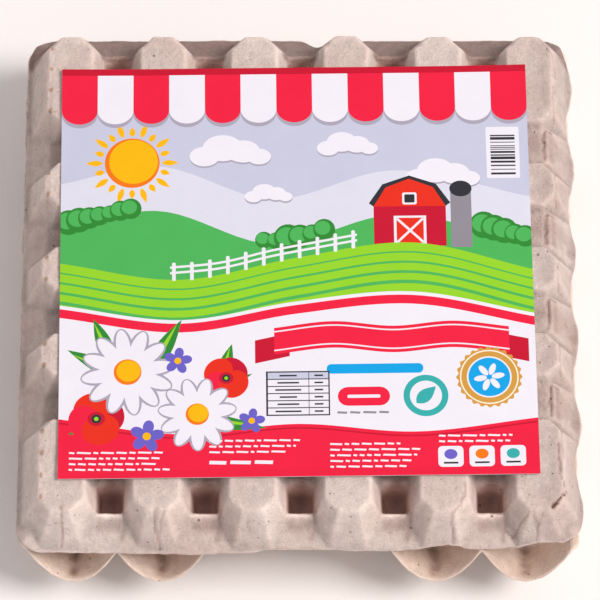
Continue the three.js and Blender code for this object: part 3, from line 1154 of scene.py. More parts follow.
def leaf(base: Point, length: float, width: float, turn: float) -> tuple[Point, ...]:
    """Outline of a pointed leaf that grows from its base at an angle in degrees.

    Args:
        base: Where it grows from.
        length: Its length.
        width: Its greatest width.
        turn: Turn in degrees, anticlockwise from the right.

    Returns:
        The outline, anticlockwise.
    """
    steps = 9
    shares = [i / steps for i in range(steps + 1)]
    side = [(length * share, width / 2 * math.sin(math.pi * share**0.8)) for share in shares]
    outline = [(u, -v) for u, v in side] + [(u, v) for u, v in reversed(side[1:-1])]
    return tuple(turned_to(base, turn, u, v) for u, v in outline)


def smooth_curve(knots: Sequence[Point], steps: int) -> list[Point]:
    """Pass a smooth curve through knots given from left to right.

    Args:
        knots: Places that it passes through.
        steps: Parts between two knots.

    Returns:
        Points along the curve.
    """
    xs = np.array([k[0] for k in knots])
    ys = np.array([k[1] for k in knots])
    slopes = np.gradient(ys, xs)
    curve = []
    for i in range(len(knots) - 1):
        span = xs[i + 1] - xs[i]
        for k in range(steps):
            t = k / steps
            h0, h1 = 2 * t**3 - 3 * t**2 + 1, t**3 - 2 * t**2 + t
            h2, h3 = -2 * t**3 + 3 * t**2, t**3 - t**2
            height = h0 * ys[i] + h1 * span * slopes[i] + h2 * ys[i + 1] + h3 * span * slopes[i + 1]
            curve.append((float(xs[i] + span * t), float(height)))
    curve.append((float(xs[-1]), float(ys[-1])))
    return curve


def height_at(knots: Sequence[Point], x: float) -> float:
    """Height of the curve through knots at a place across the card."""
    curve = np.array(smooth_curve(knots, 10))
    return float(np.interp(x, curve[:, 0], curve[:, 1]))


@dataclass(frozen=True)
class LabelPrint:
    """The generic print on the card: an awning, hills with a barn, flowers, a ribbon, seals and bars."""

    half_width: float = 123.5
    half_length: float = 117.5
    foot: float = -125.0
    back_hill: tuple[Point, ...] = ((-123.5, 24.0), (-74.0, 34.0), (-12.0, 14.0), (50.0, 30.0), (123.5, 14.0))
    front_hill: tuple[Point, ...] = ((-123.5, 4.0), (-60.0, -6.0), (0.0, 6.0), (62.0, 14.0), (123.5, -2.0))
    border: tuple[Point, ...] = ((-123.5, -20.0), (-60.0, -29.0), (0.0, -19.0), (60.0, -14.0), (123.5, -27.0))
    base_top: tuple[Point, ...] = ((-123.5, -84), (-62.0, -93), (0.0, -88), (60.0, -93), (123.5, -86))
    seed: int = 5

    def under(self, ink: Ink, knots: Sequence[Point], lower_by: float = 0.0) -> PrintShape:
        """A field that fills the card below a curve through knots."""
        curve = [(x, y - lower_by) for x, y in smooth_curve(knots, 10)]
        return PrintShape(ink, ((curve[0][0], self.foot), (curve[-1][0], self.foot), *curve[::-1]))

    def band(self, ink: Ink, knots: Sequence[Point], lower_by: float, thick: float) -> PrintShape:
        """An even band that follows a curve through knots.

        Args:
            ink: Its ink.
            knots: Knots of the curve.
            lower_by: How far its upper edge lies below the curve.
            thick: Its height.

        Returns:
            The band.
        """
        curve = smooth_curve(knots, 10)
        lower = [(x, y - lower_by - thick) for x, y in curve]
        upper = [(x, y - lower_by) for x, y in curve[::-1]]
        return PrintShape(ink, tuple(lower + upper))

    def sky(self) -> Iterable[PrintShape]:
        """A pale sky with a sun and clouds.

        Returns:
            The shapes, the lowest first.
        """
        yield PrintShape(Ink.WASH, box((0.0, 40.0), (250.0, 190.0)))
        yield self.under(Ink.HAZE, self.back_hill, -26.0)
        sun = (-86.0, 62.0)
        for i in range(20):
            turn = 18.0 * i
            start = turned_to(sun, turn, 15.5)
            yield PrintShape(Ink.YELLOW, leaf(start, 9.0 - 3.5 * (i % 2), 3.2, turn))
        yield PrintShape(Ink.ORANGE, oval(sun, (14.5, 14.5), 0, 40))
        yield PrintShape(Ink.YELLOW, oval((sun[0] + 0.7, sun[1] + 0.8), (12.9, 12.9), 0, 40))
        puffs = ((-1.15, -0.05, 0.6), (-0.35, 0.35, 0.8), (0.55, 0.18, 0.68), (1.25, -0.08, 0.48))
        for x, y, size in ((-34.0, 66.0, 12.0), (28.0, 70.0, 9.0), (78.0, 52.0, 11.0), (-14.0, 42.0, 7.0)):
            for ink, fall in ((Ink.WASH_DEEP, 1.0), (Ink.STOCK, 0.0)):
                for across, rise, half in puffs:
                    centre = (x + across * size, y + rise * size - fall)
                    yield PrintShape(ink, oval(centre, (half * size * 1.1, half * size * 0.8)))

    def hills(self) -> Iterable[PrintShape]:
        """Two rows of green hills with furrows, trees and a fence, over a white field with a red edge.

        Returns:
            The shapes, the lowest first.
        """
        yield self.under(Ink.GREEN, self.back_hill)
        rng = np.random.default_rng(self.seed)
        for low, high, count in ((-122.0, -84.0, 7), (-20.0, 18.0, 6), (96.0, 123.0, 5)):
            for i in range(count):
                x = low + (high - low) * (i + 0.5) / count
                size = float(rng.uniform(4.5, 7.5))
                y = height_at(self.back_hill, x) + 0.4 * size
                yield PrintShape(Ink.LEAF, oval((x, y), (size, size * 1.05), 0, 22))
                yield PrintShape(Ink.GREEN, oval((x - 0.8, y + 0.9), (size * 0.72, size * 0.7), 0, 20))
        yield from self.barn()
        yield self.under(Ink.LIME, self.front_hill)
        for i in range(4):
            yield self.band(Ink.GREEN, self.front_hill, 5.0 + 5.5 * i, 0.9 + 0.35 * i)
        for rise in (-4.4, -7.6):
            rail = [(x, height_at(self.front_hill, x)) for x in (-66.0, -40.0, -12.0, 14.0, 32.0)]
            yield self.band(Ink.STOCK, rail, rise, 1.3)
        for i in range(11):
            x = -64.0 + 9.4 * i
            yield PrintShape(Ink.STOCK, box((x, height_at(self.front_hill, x) + 4.6), (1.9, 10.5), 0.7))
        yield self.under(Ink.STOCK, self.border)
        yield self.band(Ink.RED, self.border, 2.0, 5.0)
        yield self.under(Ink.RED, self.base_top)
        yield self.band(Ink.DEEP_RED, self.base_top, 1.8, 0.9)

    def barn(self) -> Iterable[PrintShape]:
        """A red barn with a dark roof, a pale door and a grey silo beside it.

        Returns:
            The shapes, the lowest first.
        """
        x, ground = 60.0, height_at(self.front_hill, 60.0) - 1.0
        yield PrintShape(Ink.GREY, box((x + 27.0, ground + 15.0), (11.0, 34.0), 1.0))
        yield PrintShape(Ink.CHARCOAL, oval((x + 27.0, ground + 32.0), (5.9, 4.6)))
        yield PrintShape(Ink.DEEP_RED, box((x, ground + 11.0), (38.0, 24.0)))
        gable = [(-19.0, 22.0), (19.0, 22.0), (12.5, 33.0), (0.0, 38.0), (-12.5, 33.0)]
        yield PrintShape(Ink.POPPY, tuple((x + u, ground + v) for u, v in gable))
        roof = gable[1:] + gable[:1]
        outer = [(u * 1.13, v + 1.9) for u, v in reversed(roof)]
        yield PrintShape(Ink.CHARCOAL, tuple((x + u, ground + v) for u, v in reversed(roof + outer)))
        yield PrintShape(Ink.STOCK, box((x, ground + 8.0), (17.0, 17.0)))
        yield PrintShape(Ink.POPPY, box((x, ground + 8.0), (14.2, 14.6)))
        for turn in (-45.0, 45.0):
            yield PrintShape(Ink.STOCK, box((x, ground + 8.0), (19.5, 1.3), 0, turn))
        yield PrintShape(Ink.STOCK, box((x, ground + 26.5), (7.6, 7.0), 1.0))
        yield PrintShape(Ink.CHARCOAL, box((x, ground + 26.5), (5.4, 4.8), 0.7))

    def awning(self) -> Iterable[PrintShape]:
        """A striped awning with scalloped lower ends, right across the top.

        Returns:
            The shapes, the lowest first.
        """
        width, ends, count = 19.0, 93.0, 13
        for shift, inks in ((-2.2, (Ink.WASH_DEEP, Ink.WASH_DEEP)), (0.0, (Ink.RED, Ink.STOCK))):
            for i in range(count):
                x = -self.half_width + width * (i + 0.5)
                yield PrintShape(inks[i % 2], oval((x, ends + shift), (width / 2, 8.0), 0, 32))
                yield PrintShape(inks[i % 2], box((x, ends + 13.0), (width, 26.0)))
        yield PrintShape(Ink.DEEP_RED, box((0.0, 116.0), (250.0, 4.6)))

    def petals(self, centre: Point, reach: float, count: int, ink: Ink, plump: float) -> Iterable[PrintShape]:
        """A ring of oval petals round a centre.

        Args:
            centre: The flower's middle.
            reach: How far the petals reach.
            count: How many petals.
            ink: Their ink.
            plump: Half a petal's width, as a share of the reach.

        Returns:
            The petals.
        """
        for i in range(count):
            turn = 360.0 * i / count + 9.0
            spot = turned_to(centre, turn, 0.58 * reach)
            yield PrintShape(ink, oval(spot, (reach * 0.42, reach * plump), turn, 20))

    def daisy(self, centre: Point, reach: float, count: int) -> Iterable[PrintShape]:
        """A white daisy with grey-edged petals and a yellow middle.

        Args:
            centre: Its middle.
            reach: How far its petals reach.
            count: How many petals.

        Returns:
            The shapes, the lowest first.
        """
        yield PrintShape(Ink.WASH_DEEP, oval(centre, (reach * 0.62, reach * 0.62)))
        yield from self.petals(centre, reach * 1.03, count, Ink.WASH_DEEP, 2.45 / count)
        yield from self.petals(centre, reach, count, Ink.STOCK, 1.85 / count)
        yield PrintShape(Ink.ORANGE, oval(centre, (reach * 0.3, reach * 0.3)))
        yield PrintShape(Ink.YELLOW, oval((centre[0] + 0.5, centre[1] + 0.6), (reach * 0.26, reach * 0.25)))

    def poppy(self, centre: Point, reach: float, start: float) -> Iterable[PrintShape]:
        """A red poppy with broad petals and a dark middle.

        Args:
            centre: Its middle.
            reach: Its size.
            start: Turn of the first petal, in degrees.

        Returns:
            The shapes, the lowest first.
        """
        for i, ink in enumerate((Ink.DEEP_RED, Ink.POPPY, Ink.RED, Ink.POPPY)):
            turn = start + 90.0 * i
            spot = turned_to(centre, turn, 0.42 * reach)
            yield PrintShape(ink, oval(spot, (reach * 0.56, reach * 0.66), turn))
        yield PrintShape(Ink.DEEP_RED, oval(centre, (reach * 0.3, reach * 0.26)))
        yield PrintShape(Ink.CHARCOAL, oval(centre, (reach * 0.17, reach * 0.17), 0, 16))
        yield PrintShape(Ink.LIME, oval(centre, (reach * 0.08, reach * 0.08), 0, 10))

    def flowers(self) -> Iterable[PrintShape]:
        """A bunch of daisies, poppies and violets with leaves, in the lower left corner.

        Returns:
            The shapes, the lowest first.
        """
        stems = (
            ((-84.0, -64.0), 40.0, 9.0, 152.0),
            ((-78.0, -60.0), 36.0, 9.0, 60.0),
            ((-60.0, -76.0), 40.0, 9.0, 24.0),
            ((-60.0, -84.0), 44.0, 8.0, -8.0),
            ((-92.0, -84.0), 28.0, 8.0, 198.0),
            ((-40.0, -64.0), 22.0, 7.0, 74.0),
            ((-96.0, -52.0), 26.0, 8.0, 112.0),
        )
        for start, length, width, turn in stems:
            yield PrintShape(Ink.LEAF, leaf(start, length, width, turn))
            yield PrintShape(Ink.LIME, leaf(start, length * 0.92, width * 0.28, turn + 1.5))
        yield from self.poppy((-104.0, -84.0), 15.0, 20.0)
        yield from self.poppy((-37.0, -62.0), 12.5, 50.0)
        yield from self.daisy((-88.0, -58.0), 24.0, 12)
        yield from self.daisy((-52.0, -82.0), 20.0, 11)
        for spot, reach in (((-78.0, -94.0), 9.0), ((-62.0, -52.0), 7.5), ((-24.0, -86.0), 7.0)):
            yield from self.petals(spot, reach, 5, Ink.VIOLET, 0.32)
            yield PrintShape(Ink.YELLOW, oval(spot, (reach * 0.24, reach * 0.24), 0, 14))

    def seals(self) -> Iterable[PrintShape]:
        """A scalloped gold seal, a teal ring with a leaf and a red lozenge.

        Returns:
            The shapes, the lowest first.
        """
        centre = (99.0, -63.0)
        yield PrintShape(Ink.GOLD, scalloped(centre, 17.2, 24, 1.3))
        for ink, half in ((Ink.CREAM, 15.2), (Ink.GOLD, 14.5), (Ink.STOCK, 11.6), (Ink.BLUE, 10.8)):
            yield PrintShape(ink, oval(centre, (half, half), 0, 40))
        yield from self.petals(centre, 8.0, 6, Ink.STOCK, 0.2)
        ring = (66.0, -73.0)
        yield PrintShape(Ink.TEAL, oval(ring, (11.6, 11.6), 0, 36))
        yield PrintShape(Ink.STOCK, oval(ring, (8.3, 8.3), 0, 32))
        yield PrintShape(Ink.TEAL, leaf((ring[0] - 5.0, ring[1] - 4.2), 13.8, 7.0, 42.0))
        yield PrintShape(Ink.RED, box((34.0, -73.0), (27.0, 10.5), 5.2))
        yield PrintShape(Ink.STOCK, box((34.0, -73.0), (17.0, 1.8), 0.7))

    def ribbon(self) -> Iterable[PrintShape]:
        """A waving red ribbon with folded ends and a blue bar under it.

        Returns:
            The shapes, the lowest first.
        """
        knots = ((-12.0, -34.0), (18.0, -30.5), (50.0, -33.5), (82.0, -31.0), (110.0, -34.5))
        for tail in (((-22.0, -41.0), (-4.0, -37.0)), ((102.0, -37.5), (120.0, -41.5))):
            yield self.band(Ink.DEEP_RED, tail, 0.0, 13.0)
        yield self.band(Ink.RED, knots, 0.0, 15.0)
        yield self.band(Ink.STOCK, knots, 1.8, 0.8)
        yield self.band(Ink.STOCK, knots, 12.4, 0.8)
        yield PrintShape(Ink.BLUE, box((40.0, -57.5), (50.0, 5.4), 2.4))

    def bars(
        self, ink: Ink, left: float, right: float, top: float, rows: int, height: float
    ) -> Iterable[PrintShape]:
        """Rows of short bars in the place of small print.

        Args:
            ink: Their ink.
            left: Left edge of the block.
            right: Right edge of the block.
            top: Height of the first row.
            rows: How many rows.
            height: Height of a bar.

        Returns:
            The bars.
        """
        rng = np.random.default_rng(int(abs(left * 7 + top * 3)) + rows)
        for row in range(rows):
            x = left
            end = right - float(rng.uniform(0.0, 0.25)) * (right - left)
            while x < end - 1.0:
                width = min(float(rng.uniform(1.6, 6.5)) * height / 1.1, end - x)
                centre = (x + width / 2, top - row * height * 2.4)
                yield PrintShape(ink, box(centre, (width, height), min(0.3, height / 3)))
                x += width + height * 0.8

    def panels(self) -> Iterable[PrintShape]:
        """A ruled table, a box of upright bars, white tiles and all rows of bars.

        Returns:
            The shapes, the lowest first.
        """
        centre, size, rows = (0.0, -71.0), (32.0, 24.0), 6
        yield PrintShape(Ink.CHARCOAL, box(centre, (size[0] + 0.9, size[1] + 0.9)))
        row_height = size[1] / rows
        for row in range(rows):
            y = centre[1] + size[1] / 2 - row_height * (row + 0.5)
            ink = Ink.WASH if row == 0 else Ink.STOCK
            for across, width, bar in ((-5.0, 21.0, 9.0 + 2.2 * (row % 3)), (10.8, 9.9, 4.5)):
                yield PrintShape(ink, box((centre[0] + across, y), (width, row_height - 0.55)))
                yield PrintShape(Ink.CHARCOAL, box((centre[0] + across, y), (bar, 0.9)))
        yield PrintShape(Ink.STOCK, box((110.0, 66.0), (17.5, 30.0), 0.8))
        y = 53.0
        widths = np.random.default_rng(self.seed).choice([0.5, 0.8, 1.2, 1.6], 26)
        for i, width in enumerate(widths.tolist()):
            if i % 2 == 0:
                yield PrintShape(Ink.CHARCOAL, box((110.0, y + width / 2), (13.0, width)))
            y += width
        for i, ink in enumerate((Ink.VIOLET, Ink.ORANGE, Ink.TEAL)):
            tile = (78.0 + 16.0 * i, -107.0)
            yield PrintShape(Ink.STOCK, box(tile, (13.0, 11.5), 2.2))
            yield PrintShape(ink, oval((tile[0], tile[1] + 1.3), (3.4, 2.8), 0, 18))
            yield PrintShape(Ink.CHARCOAL, box((tile[0], tile[1] - 3.5), (7.4, 1.0)))
        yield from self.bars(Ink.GREY, 20.0, 52.0, -82.0, 1, 1.5)
        yield from self.bars(Ink.STOCK, -118.0, -58.0, -103.0, 4, 1.3)
        yield from self.bars(Ink.STOCK, -46.0, 6.0, -97.0, 3, 1.3)
        yield from self.bars(Ink.STOCK, -46.0, -8.0, -109.0, 1, 2.2)
        yield from self.bars(Ink.STOCK, 16.0, 64.0, -99.5, 5, 1.3)
        yield from self.bars(Ink.STOCK, 72.0, 118.0, -95.5, 2, 1.3)

    def shapes(self) -> list[PrintShape]:
        """Every printed shape, the lowest first."""
        pictures = (self.sky(), self.hills(), self.awning(), self.ribbon(), self.flowers())
        return [shape for part in (*pictures, self.seals(), self.panels()) for shape in part]


def linear_colour(hex_value: str) -> tuple[float, float, float, float]:
    """Turn an sRGB hex value into Blender's linear colour, with full alpha.

    Args:
        hex_value: The colour, as in #RRGGBB.

    Returns:
        Red, green, blue and alpha, from 0 to 1.
    """
    channels = []
    for k in (1, 3, 5):
        value = int(hex_value[k : k + 2], 16) / 255
        channels.append(value / 12.92 if value <= 0.04045 else ((value + 0.055) / 1.055) ** 2.4)
    return (*channels, 1.0)


@dataclass(frozen=True)
class CardLabel:
    """The thin card on the lid, cut into the printed shapes and laid on the cup bottoms."""

    name: str = "label_card"
    centre: Point = (-1.9, -0.8)
    turn: float = 0.7
    underside: float = 78.3
    thickness: float = 0.5
    curl: float = 1.1
    sag: float = 0.25
    support_pitch: float = 4.5
    merge_within: float = 0.02
    print_design: LabelPrint = LabelPrint()

    def warp(self, x: float, y: float) -> float:
        """How far the card lifts off its resting plane at a place on it.

        Args:
            x: Place across the card.
            y: Place along the card.

        Returns:
            The lift, in millimetres.
        """
        half_x, half_y = self.print_design.half_width, self.print_design.half_length
        corner = max(0.0, abs(x) / half_x + abs(y) / half_y - 1.55) / 0.45
        spot_x, spot_y = np.array([x]), np.array([y])
        wave = float(lattice_noise(spot_x, spot_y, 62.0, 3)[0])
        return self.curl * corner**2 + self.sag * (0.5 + 0.5 * wave)

    def build(self) -> bpy.types.Object:
        """Make the card as one closed mesh whose upper faces carry their ink's colour.

        Returns:
            The card.
        """
        design = self.print_design
        signs = ((-1, -1), (1, -1), (1, 1), (-1, 1))
        card = tuple((side * design.half_width, end * design.half_length) for side, end in signs)
        shapes = [PrintShape(Ink.STOCK, card), *design.shapes()]
        points: list[Vector] = []
        outlines: list[Loop] = []
        for shape in shapes:
            outlines.append(list(range(len(points), len(points) + len(shape.outline))))
            points.extend(Vector(point) for point in shape.outline)
        columns = int(2 * design.half_width / self.support_pitch)
        rows = int(2 * design.half_length / self.support_pitch)
        for i in range(1, columns):
            for k in range(1, rows):
                along = -design.half_width + 2 * design.half_width * i / columns
                across = -design.half_length + 2 * design.half_length * k / rows
                points.append(Vector((along, across)))
        found = geometry.delaunay_2d_cdt(points, [], outlines, 1, self.merge_within)
        corners, _, triangles, _, _, owners = found
        kept = [(tri, max(own)) for tri, own in zip(triangles, owners) if 0 in own]
        return self.to_object(corners, kept, shapes)

    def to_object(
        self,
        corners: Sequence[Vector],
        kept: Sequence[tuple[Loop, int]],
        shapes: Sequence[PrintShape],
    ) -> bpy.types.Object:
        """Lift the cut plan to a closed card in its place.

        Args:
            corners: Plan points.
            kept: Triangles inside the card, each with the number of its topmost shape.
            shapes: The printed shapes.

        Returns:
            The card as an object.
        """
        used = sorted({i for tri, _ in kept for i in tri})
        number = {old: new for new, old in enumerate(used)}
        upper, lower = [], []
        for old in used:
            x, y = corners[old]
            place_x, place_y = turned_to(self.centre, self.turn, x, y)
            z = self.underside + self.warp(x, y)
            lower.append((place_x * MM, place_y * MM, z * MM))
            upper.append((place_x * MM, place_y * MM, (z + self.thickness) * MM))
        count = len(used)
        faces = [tuple(number[i] for i in tri) for tri, _ in kept]
        inks = [shapes[owner].ink for _, owner in kept]
        edges = {}
        for a, b, c in faces:
            for pair in ((a, b), (b, c), (c, a)):
                edges[pair] = edges.get(pair, 0) + 1
        rim = [pair for pair in edges if (pair[1], pair[0]) not in edges]
        under = [(c + count, b + count, a + count) for a, b, c in faces]
        sides = [(b, a, a + count, b + count) for a, b in rim]
        mesh = bpy.data.meshes.new(self.name)
        mesh.from_pydata(upper + lower, [], faces + under + sides)
        colours = mesh.color_attributes.new("ink", "FLOAT_COLOR", "CORNER")
        plain = linear_colour(Ink.STOCK.value)
        values = [linear_colour(ink.value) for ink in inks]
        for face in mesh.polygons:
            colour = values[face.index] if face.index < len(values) else plain
            for corner in face.loop_indices:
                colours.data[corner].color = colour
        mesh.update()
        return linked_object(self.name, mesh)


NodeInputs = dict[int | str, object]


def add_node(
    tree: bpy.types.NodeTree, kind: str, inputs: NodeInputs | None = None, **settings: object
) -> bpy.types.Node:
    """Add a node with its settings, values and links.

    Args:
        tree: The node tree.
        kind: Blender's name of the node type.
        inputs: Socket to value, or to the output socket that feeds it.
        settings: The node's own properties.

    Returns:
        The new node.
    """
    made = tree.nodes.new(kind)
    for key, value in settings.items():
        setattr(made, key, value)
    for key, value in (inputs or {}).items():
        if isinstance(value, bpy.types.NodeSocket):
            tree.links.new(value, made.inputs[key])
        else:
            made.inputs[key].default_value = value
    return made


def per_metre(size_mm: float) -> float:
    """Texture scale that gives features of a real size."""
    return 1000.0 / size_mm


def fresh_material(name: str) -> tuple[bpy.types.Material, bpy.types.NodeTree]:
    """Start a material with an empty node tree.

    Args:
        name: Its name.

    Returns:
        The material and its node tree.
    """
    material = bpy.data.materials.new(name)
    material.use_nodes = True
    material.node_tree.nodes.clear()
    return material, material.node_tree


@dataclass(frozen=True)
class PulpFinish:
    """Moulded recycled pulp: matte grey-beige paper fibre, pressed on a mesh and dried.

    The eye gets soft clouds of tone, a felt of short fibres, dark specks of old print and a few
    rust-brown stains where it was folded. The mesh's attributes also paint shade and light into it: a
    brown tint for soiling and painted shade, and a lightness for rubbed edges, painted light and
    painted shade. The stains' place, pitch, width and height are in metres, as the shader sees them.
    """

    name: str
    pale: str
    base: str
    # Dark brown for stains and soiling, and for painted shade in the hollows, valleys and creases.
    grime_and_shade: str = "#6B2F20"
    speck: str = "#5F5049"
    rust: str = "#A27440"
    cloud_mm: float = 42.0
    mottle_mm: float = 5.0
    fibre_mm: float = 1.1
    speck_mm: float = 5.2
    rust_x: float = -0.1326
    rust_pitch: float = 0.01225
    rust_half: float = 0.0014
    rust_above: float = 0.0755
    stained: bool = True

    def material(self) -> bpy.types.Material:
        """Build the node material.

        Returns:
            The material.
        """
        material, tree = fresh_material(self.name)
        place = add_node(tree, "ShaderNodeTexCoord").outputs["Object"]
        noises = [
            {"Scale": per_metre(self.cloud_mm), "Detail": 3.0, "Roughness": 0.55},
            {"Scale": per_metre(self.mottle_mm), "Detail": 5.0, "Roughness": 0.6},
            {"Scale": per_metre(self.fibre_mm), "Detail": 4.0, "Distortion": 1.6},
        ]
        cloud, mottle, fibre = [
            add_node(tree, "ShaderNodeTexNoise", {"Vector": place, **noise}).outputs[0] for noise in noises
        ]
        clouded = {0: cloud, 1: 0.32, 2: 0.68, 3: 0.0, 4: 1.0}
        cloud_share = add_node(tree, "ShaderNodeMapRange", clouded).outputs[0]
        mixed = {0: cloud_share, 6: linear_colour(self.base), 7: linear_colour(self.pale)}
        toned = add_node(tree, "ShaderNodeMix", mixed, data_type="RGBA").outputs[2]
        # The brown tint carries soiling and painted shade.
        grime_and_shade_share = add_node(tree, "ShaderNodeAttribute", attribute_name="grime_and_shade").outputs["Fac"]
        mixed = {0: grime_and_shade_share, 6: toned, 7: linear_colour(self.grime_and_shade)}
        shaded = add_node(tree, "ShaderNodeMix", mixed, data_type="RGBA").outputs[2]
        # Painted light and shade: the lightness attribute makes edges and the hollows' walls lighter and
        # shaded corners darker.
        wear_and_shading = add_node(tree, "ShaderNodeAttribute", attribute_name="wear_and_shading").outputs["Fac"]
        tone = add_node(tree, "ShaderNodeMath", {0: wear_and_shading, 1: 0.24}, operation="MULTIPLY").outputs[0]
        grain = add_node(
            tree, "ShaderNodeMath", {0: mottle, 1: 0.5, 2: 0.0}, operation="MULTIPLY_ADD"
        ).outputs[0]
        fine = add_node(
            tree, "ShaderNodeMath", {0: fibre, 1: 0.5, 2: grain}, operation="MULTIPLY_ADD"
        ).outputs[0]
        sum_up = add_node(tree, "ShaderNodeMath", {0: fine, 1: tone}, operation="ADD").outputs[0]
        value = add_node(tree, "ShaderNodeMath", {0: sum_up, 1: 0.5}, operation="ADD").outputs[0]
        felted = add_node(tree, "ShaderNodeHueSaturation", {"Value": value, "Color": shaded}).outputs[0]
        colour = self.specked(tree, place, felted)
        if self.stained:
            colour = self.rusted(tree, place, mottle, colour)
        lumps = add_node(
            tree, "ShaderNodeMath", {0: mottle, 1: 1.6, 2: fibre}, operation="MULTIPLY_ADD"
        ).outputs[0]
        bump = add_node(
            tree, "ShaderNodeBump", {"Height": lumps, "Strength": 0.85, "Distance": 0.0008}
        ).outputs[0]
        rough = add_node(tree, "ShaderNodeMapRange", {0: fibre, 1: 0.3, 2: 0.7, 3: 0.86, 4: 1.0}).outputs[0]
        felt = {"Specular IOR Level": 0.25, "Sheen Weight": 0.08, "Sheen Roughness": 0.6}
        look = {"Base Color": colour, "Roughness": rough, "Normal": bump, **felt}
        surface = add_node(tree, "ShaderNodeBsdfPrincipled", look)
        add_node(tree, "ShaderNodeOutputMaterial", {0: surface.outputs[0]})
        return material

    def specked(
        self, tree: bpy.types.NodeTree, place: bpy.types.NodeSocket, colour: bpy.types.NodeSocket
    ) -> bpy.types.NodeSocket:
        """Scatter dark specks over half of the speck cells.

        Args:
            tree: The material's tree.
            place: The place on the piece.
            colour: The colour under the specks.

        Returns:
            The specked colour.
        """
        cells = {"Vector": place, "Scale": per_metre(self.speck_mm), "Randomness": 1.0}
        specks = add_node(tree, "ShaderNodeTexVoronoi", cells).outputs
        chance = add_node(tree, "ShaderNodeSeparateColor", {0: specks["Color"]}).outputs[0]
        size = add_node(tree, "ShaderNodeMapRange", {0: chance, 1: 0.5, 2: 1.0, 3: 0.0, 4: 0.17}).outputs[0]
        inside = add_node(
            tree, "ShaderNodeMath", {0: size, 1: specks["Distance"]}, operation="SUBTRACT"
        ).outputs[0]
        mask = add_node(tree, "ShaderNodeMapRange", {0: inside, 1: 0.0, 2: 0.05, 3: 0.0, 4: 0.72}).outputs[0]
        mixed = {0: mask, 6: colour, 7: linear_colour(self.speck)}
        return add_node(tree, "ShaderNodeMix", mixed, data_type="RGBA").outputs[2]

    def rusted(
        self,
        tree: bpy.types.NodeTree,
        place: bpy.types.NodeSocket,
        ragged: bpy.types.NodeSocket,
        colour: bpy.types.NodeSocket,
    ) -> bpy.types.NodeSocket:
        """Lay small rust-brown marks, evenly spaced, along the left fold of the cup bottoms.

        Args:
            tree: The material's tree.
            place: The place on the piece.
            ragged: Noise that frays the marks' edges.
            colour: The colour under the marks.

        Returns:
            The stained colour.
        """
        axes = add_node(tree, "ShaderNodeSeparateXYZ", {0: place}).outputs
        off = add_node(tree, "ShaderNodeMath", {0: axes[0], 1: self.rust_x}, operation="SUBTRACT").outputs[0]
        across = add_node(tree, "ShaderNodeMath", {0: off, 1: self.rust_half}, operation="DIVIDE").outputs[0]
        turn = add_node(
            tree, "ShaderNodeMath", {0: axes[1], 1: self.rust_pitch}, operation="DIVIDE"
        ).outputs[0]
        phase = add_node(tree, "ShaderNodeMath", {0: turn}, operation="FRACT").outputs[0]
        centred = add_node(tree, "ShaderNodeMath", {0: phase, 1: 0.5}, operation="SUBTRACT").outputs[0]
        along = add_node(tree, "ShaderNodeMath", {0: centred, 1: 6.2}, operation="MULTIPLY").outputs[0]
        spot = add_node(tree, "ShaderNodeCombineXYZ", {0: across, 1: along}).outputs[0]
        distance = add_node(tree, "ShaderNodeVectorMath", {0: spot}, operation="LENGTH").outputs["Value"]
        frayed = add_node(
            tree, "ShaderNodeMath", {0: ragged, 1: 1.4, 2: distance}, operation="MULTIPLY_ADD"
        ).outputs[0]
        spots = add_node(tree, "ShaderNodeMapRange", {0: frayed, 1: 1.1, 2: 1.7, 3: 0.6, 4: 0.0}).outputs[0]
        on_cup = add_node(
            tree, "ShaderNodeMath", {0: axes[2], 1: self.rust_above}, operation="GREATER_THAN"
        ).outputs[0]
        mask = add_node(tree, "ShaderNodeMath", {0: spots, 1: on_cup}, operation="MULTIPLY").outputs[0]
        mixed = {0: mask, 6: colour, 7: linear_colour(self.rust)}
        return add_node(tree, "ShaderNodeMix", mixed, data_type="RGBA").outputs[2]


@dataclass(frozen=True)
class CardFinish:
    """Coated printed card: offset inks under a thin varnish, so it is smooth with a soft gloss."""

    name: str = "coated_printed_card"
    mottle_mm: float = 14.0
    grain_mm: float = 0.9

    def material(self) -> bpy.types.Material:
        """Build the node material, which reads each face's ink.

        Returns:
            The material.
        """
        material, tree = fresh_material(self.name)
        place = add_node(tree, "ShaderNodeTexCoord").outputs["Object"]
        ink = add_node(tree, "ShaderNodeAttribute", attribute_name="ink").outputs["Color"]
        noises = [
            {"Scale": per_metre(self.mottle_mm), "Detail": 3.0},
            {"Scale": per_metre(self.grain_mm), "Detail": 2.0},
        ]
        mottle, grain = [
            add_node(tree, "ShaderNodeTexNoise", {"Vector": place, **noise}).outputs[0] for noise in noises
        ]
        tone = add_node(
            tree, "ShaderNodeMath", {0: mottle, 1: 0.07, 2: 0.94}, operation="MULTIPLY_ADD"
        ).outputs[0]
        value = add_node(
            tree, "ShaderNodeMath", {0: grain, 1: 0.05, 2: tone}, operation="MULTIPLY_ADD"
        ).outputs[0]
        colour = add_node(tree, "ShaderNodeHueSaturation", {"Value": value, "Color": ink}).outputs[0]
        bump = add_node(
            tree, "ShaderNodeBump", {"Height": grain, "Strength": 0.25, "Distance": 0.0001}
        ).outputs[0]
        rough = add_node(tree, "ShaderNodeMapRange", {0: mottle, 1: 0.3, 2: 0.7, 3: 0.36, 4: 0.5}).outputs[0]
        look = {"Base Color": colour, "Roughness": rough, "Normal": bump, "Specular IOR Level": 0.2}
        surface = add_node(tree, "ShaderNodeBsdfPrincipled", look)
        add_node(tree, "ShaderNodeOutputMaterial", {0: surface.outputs[0]})
        return material


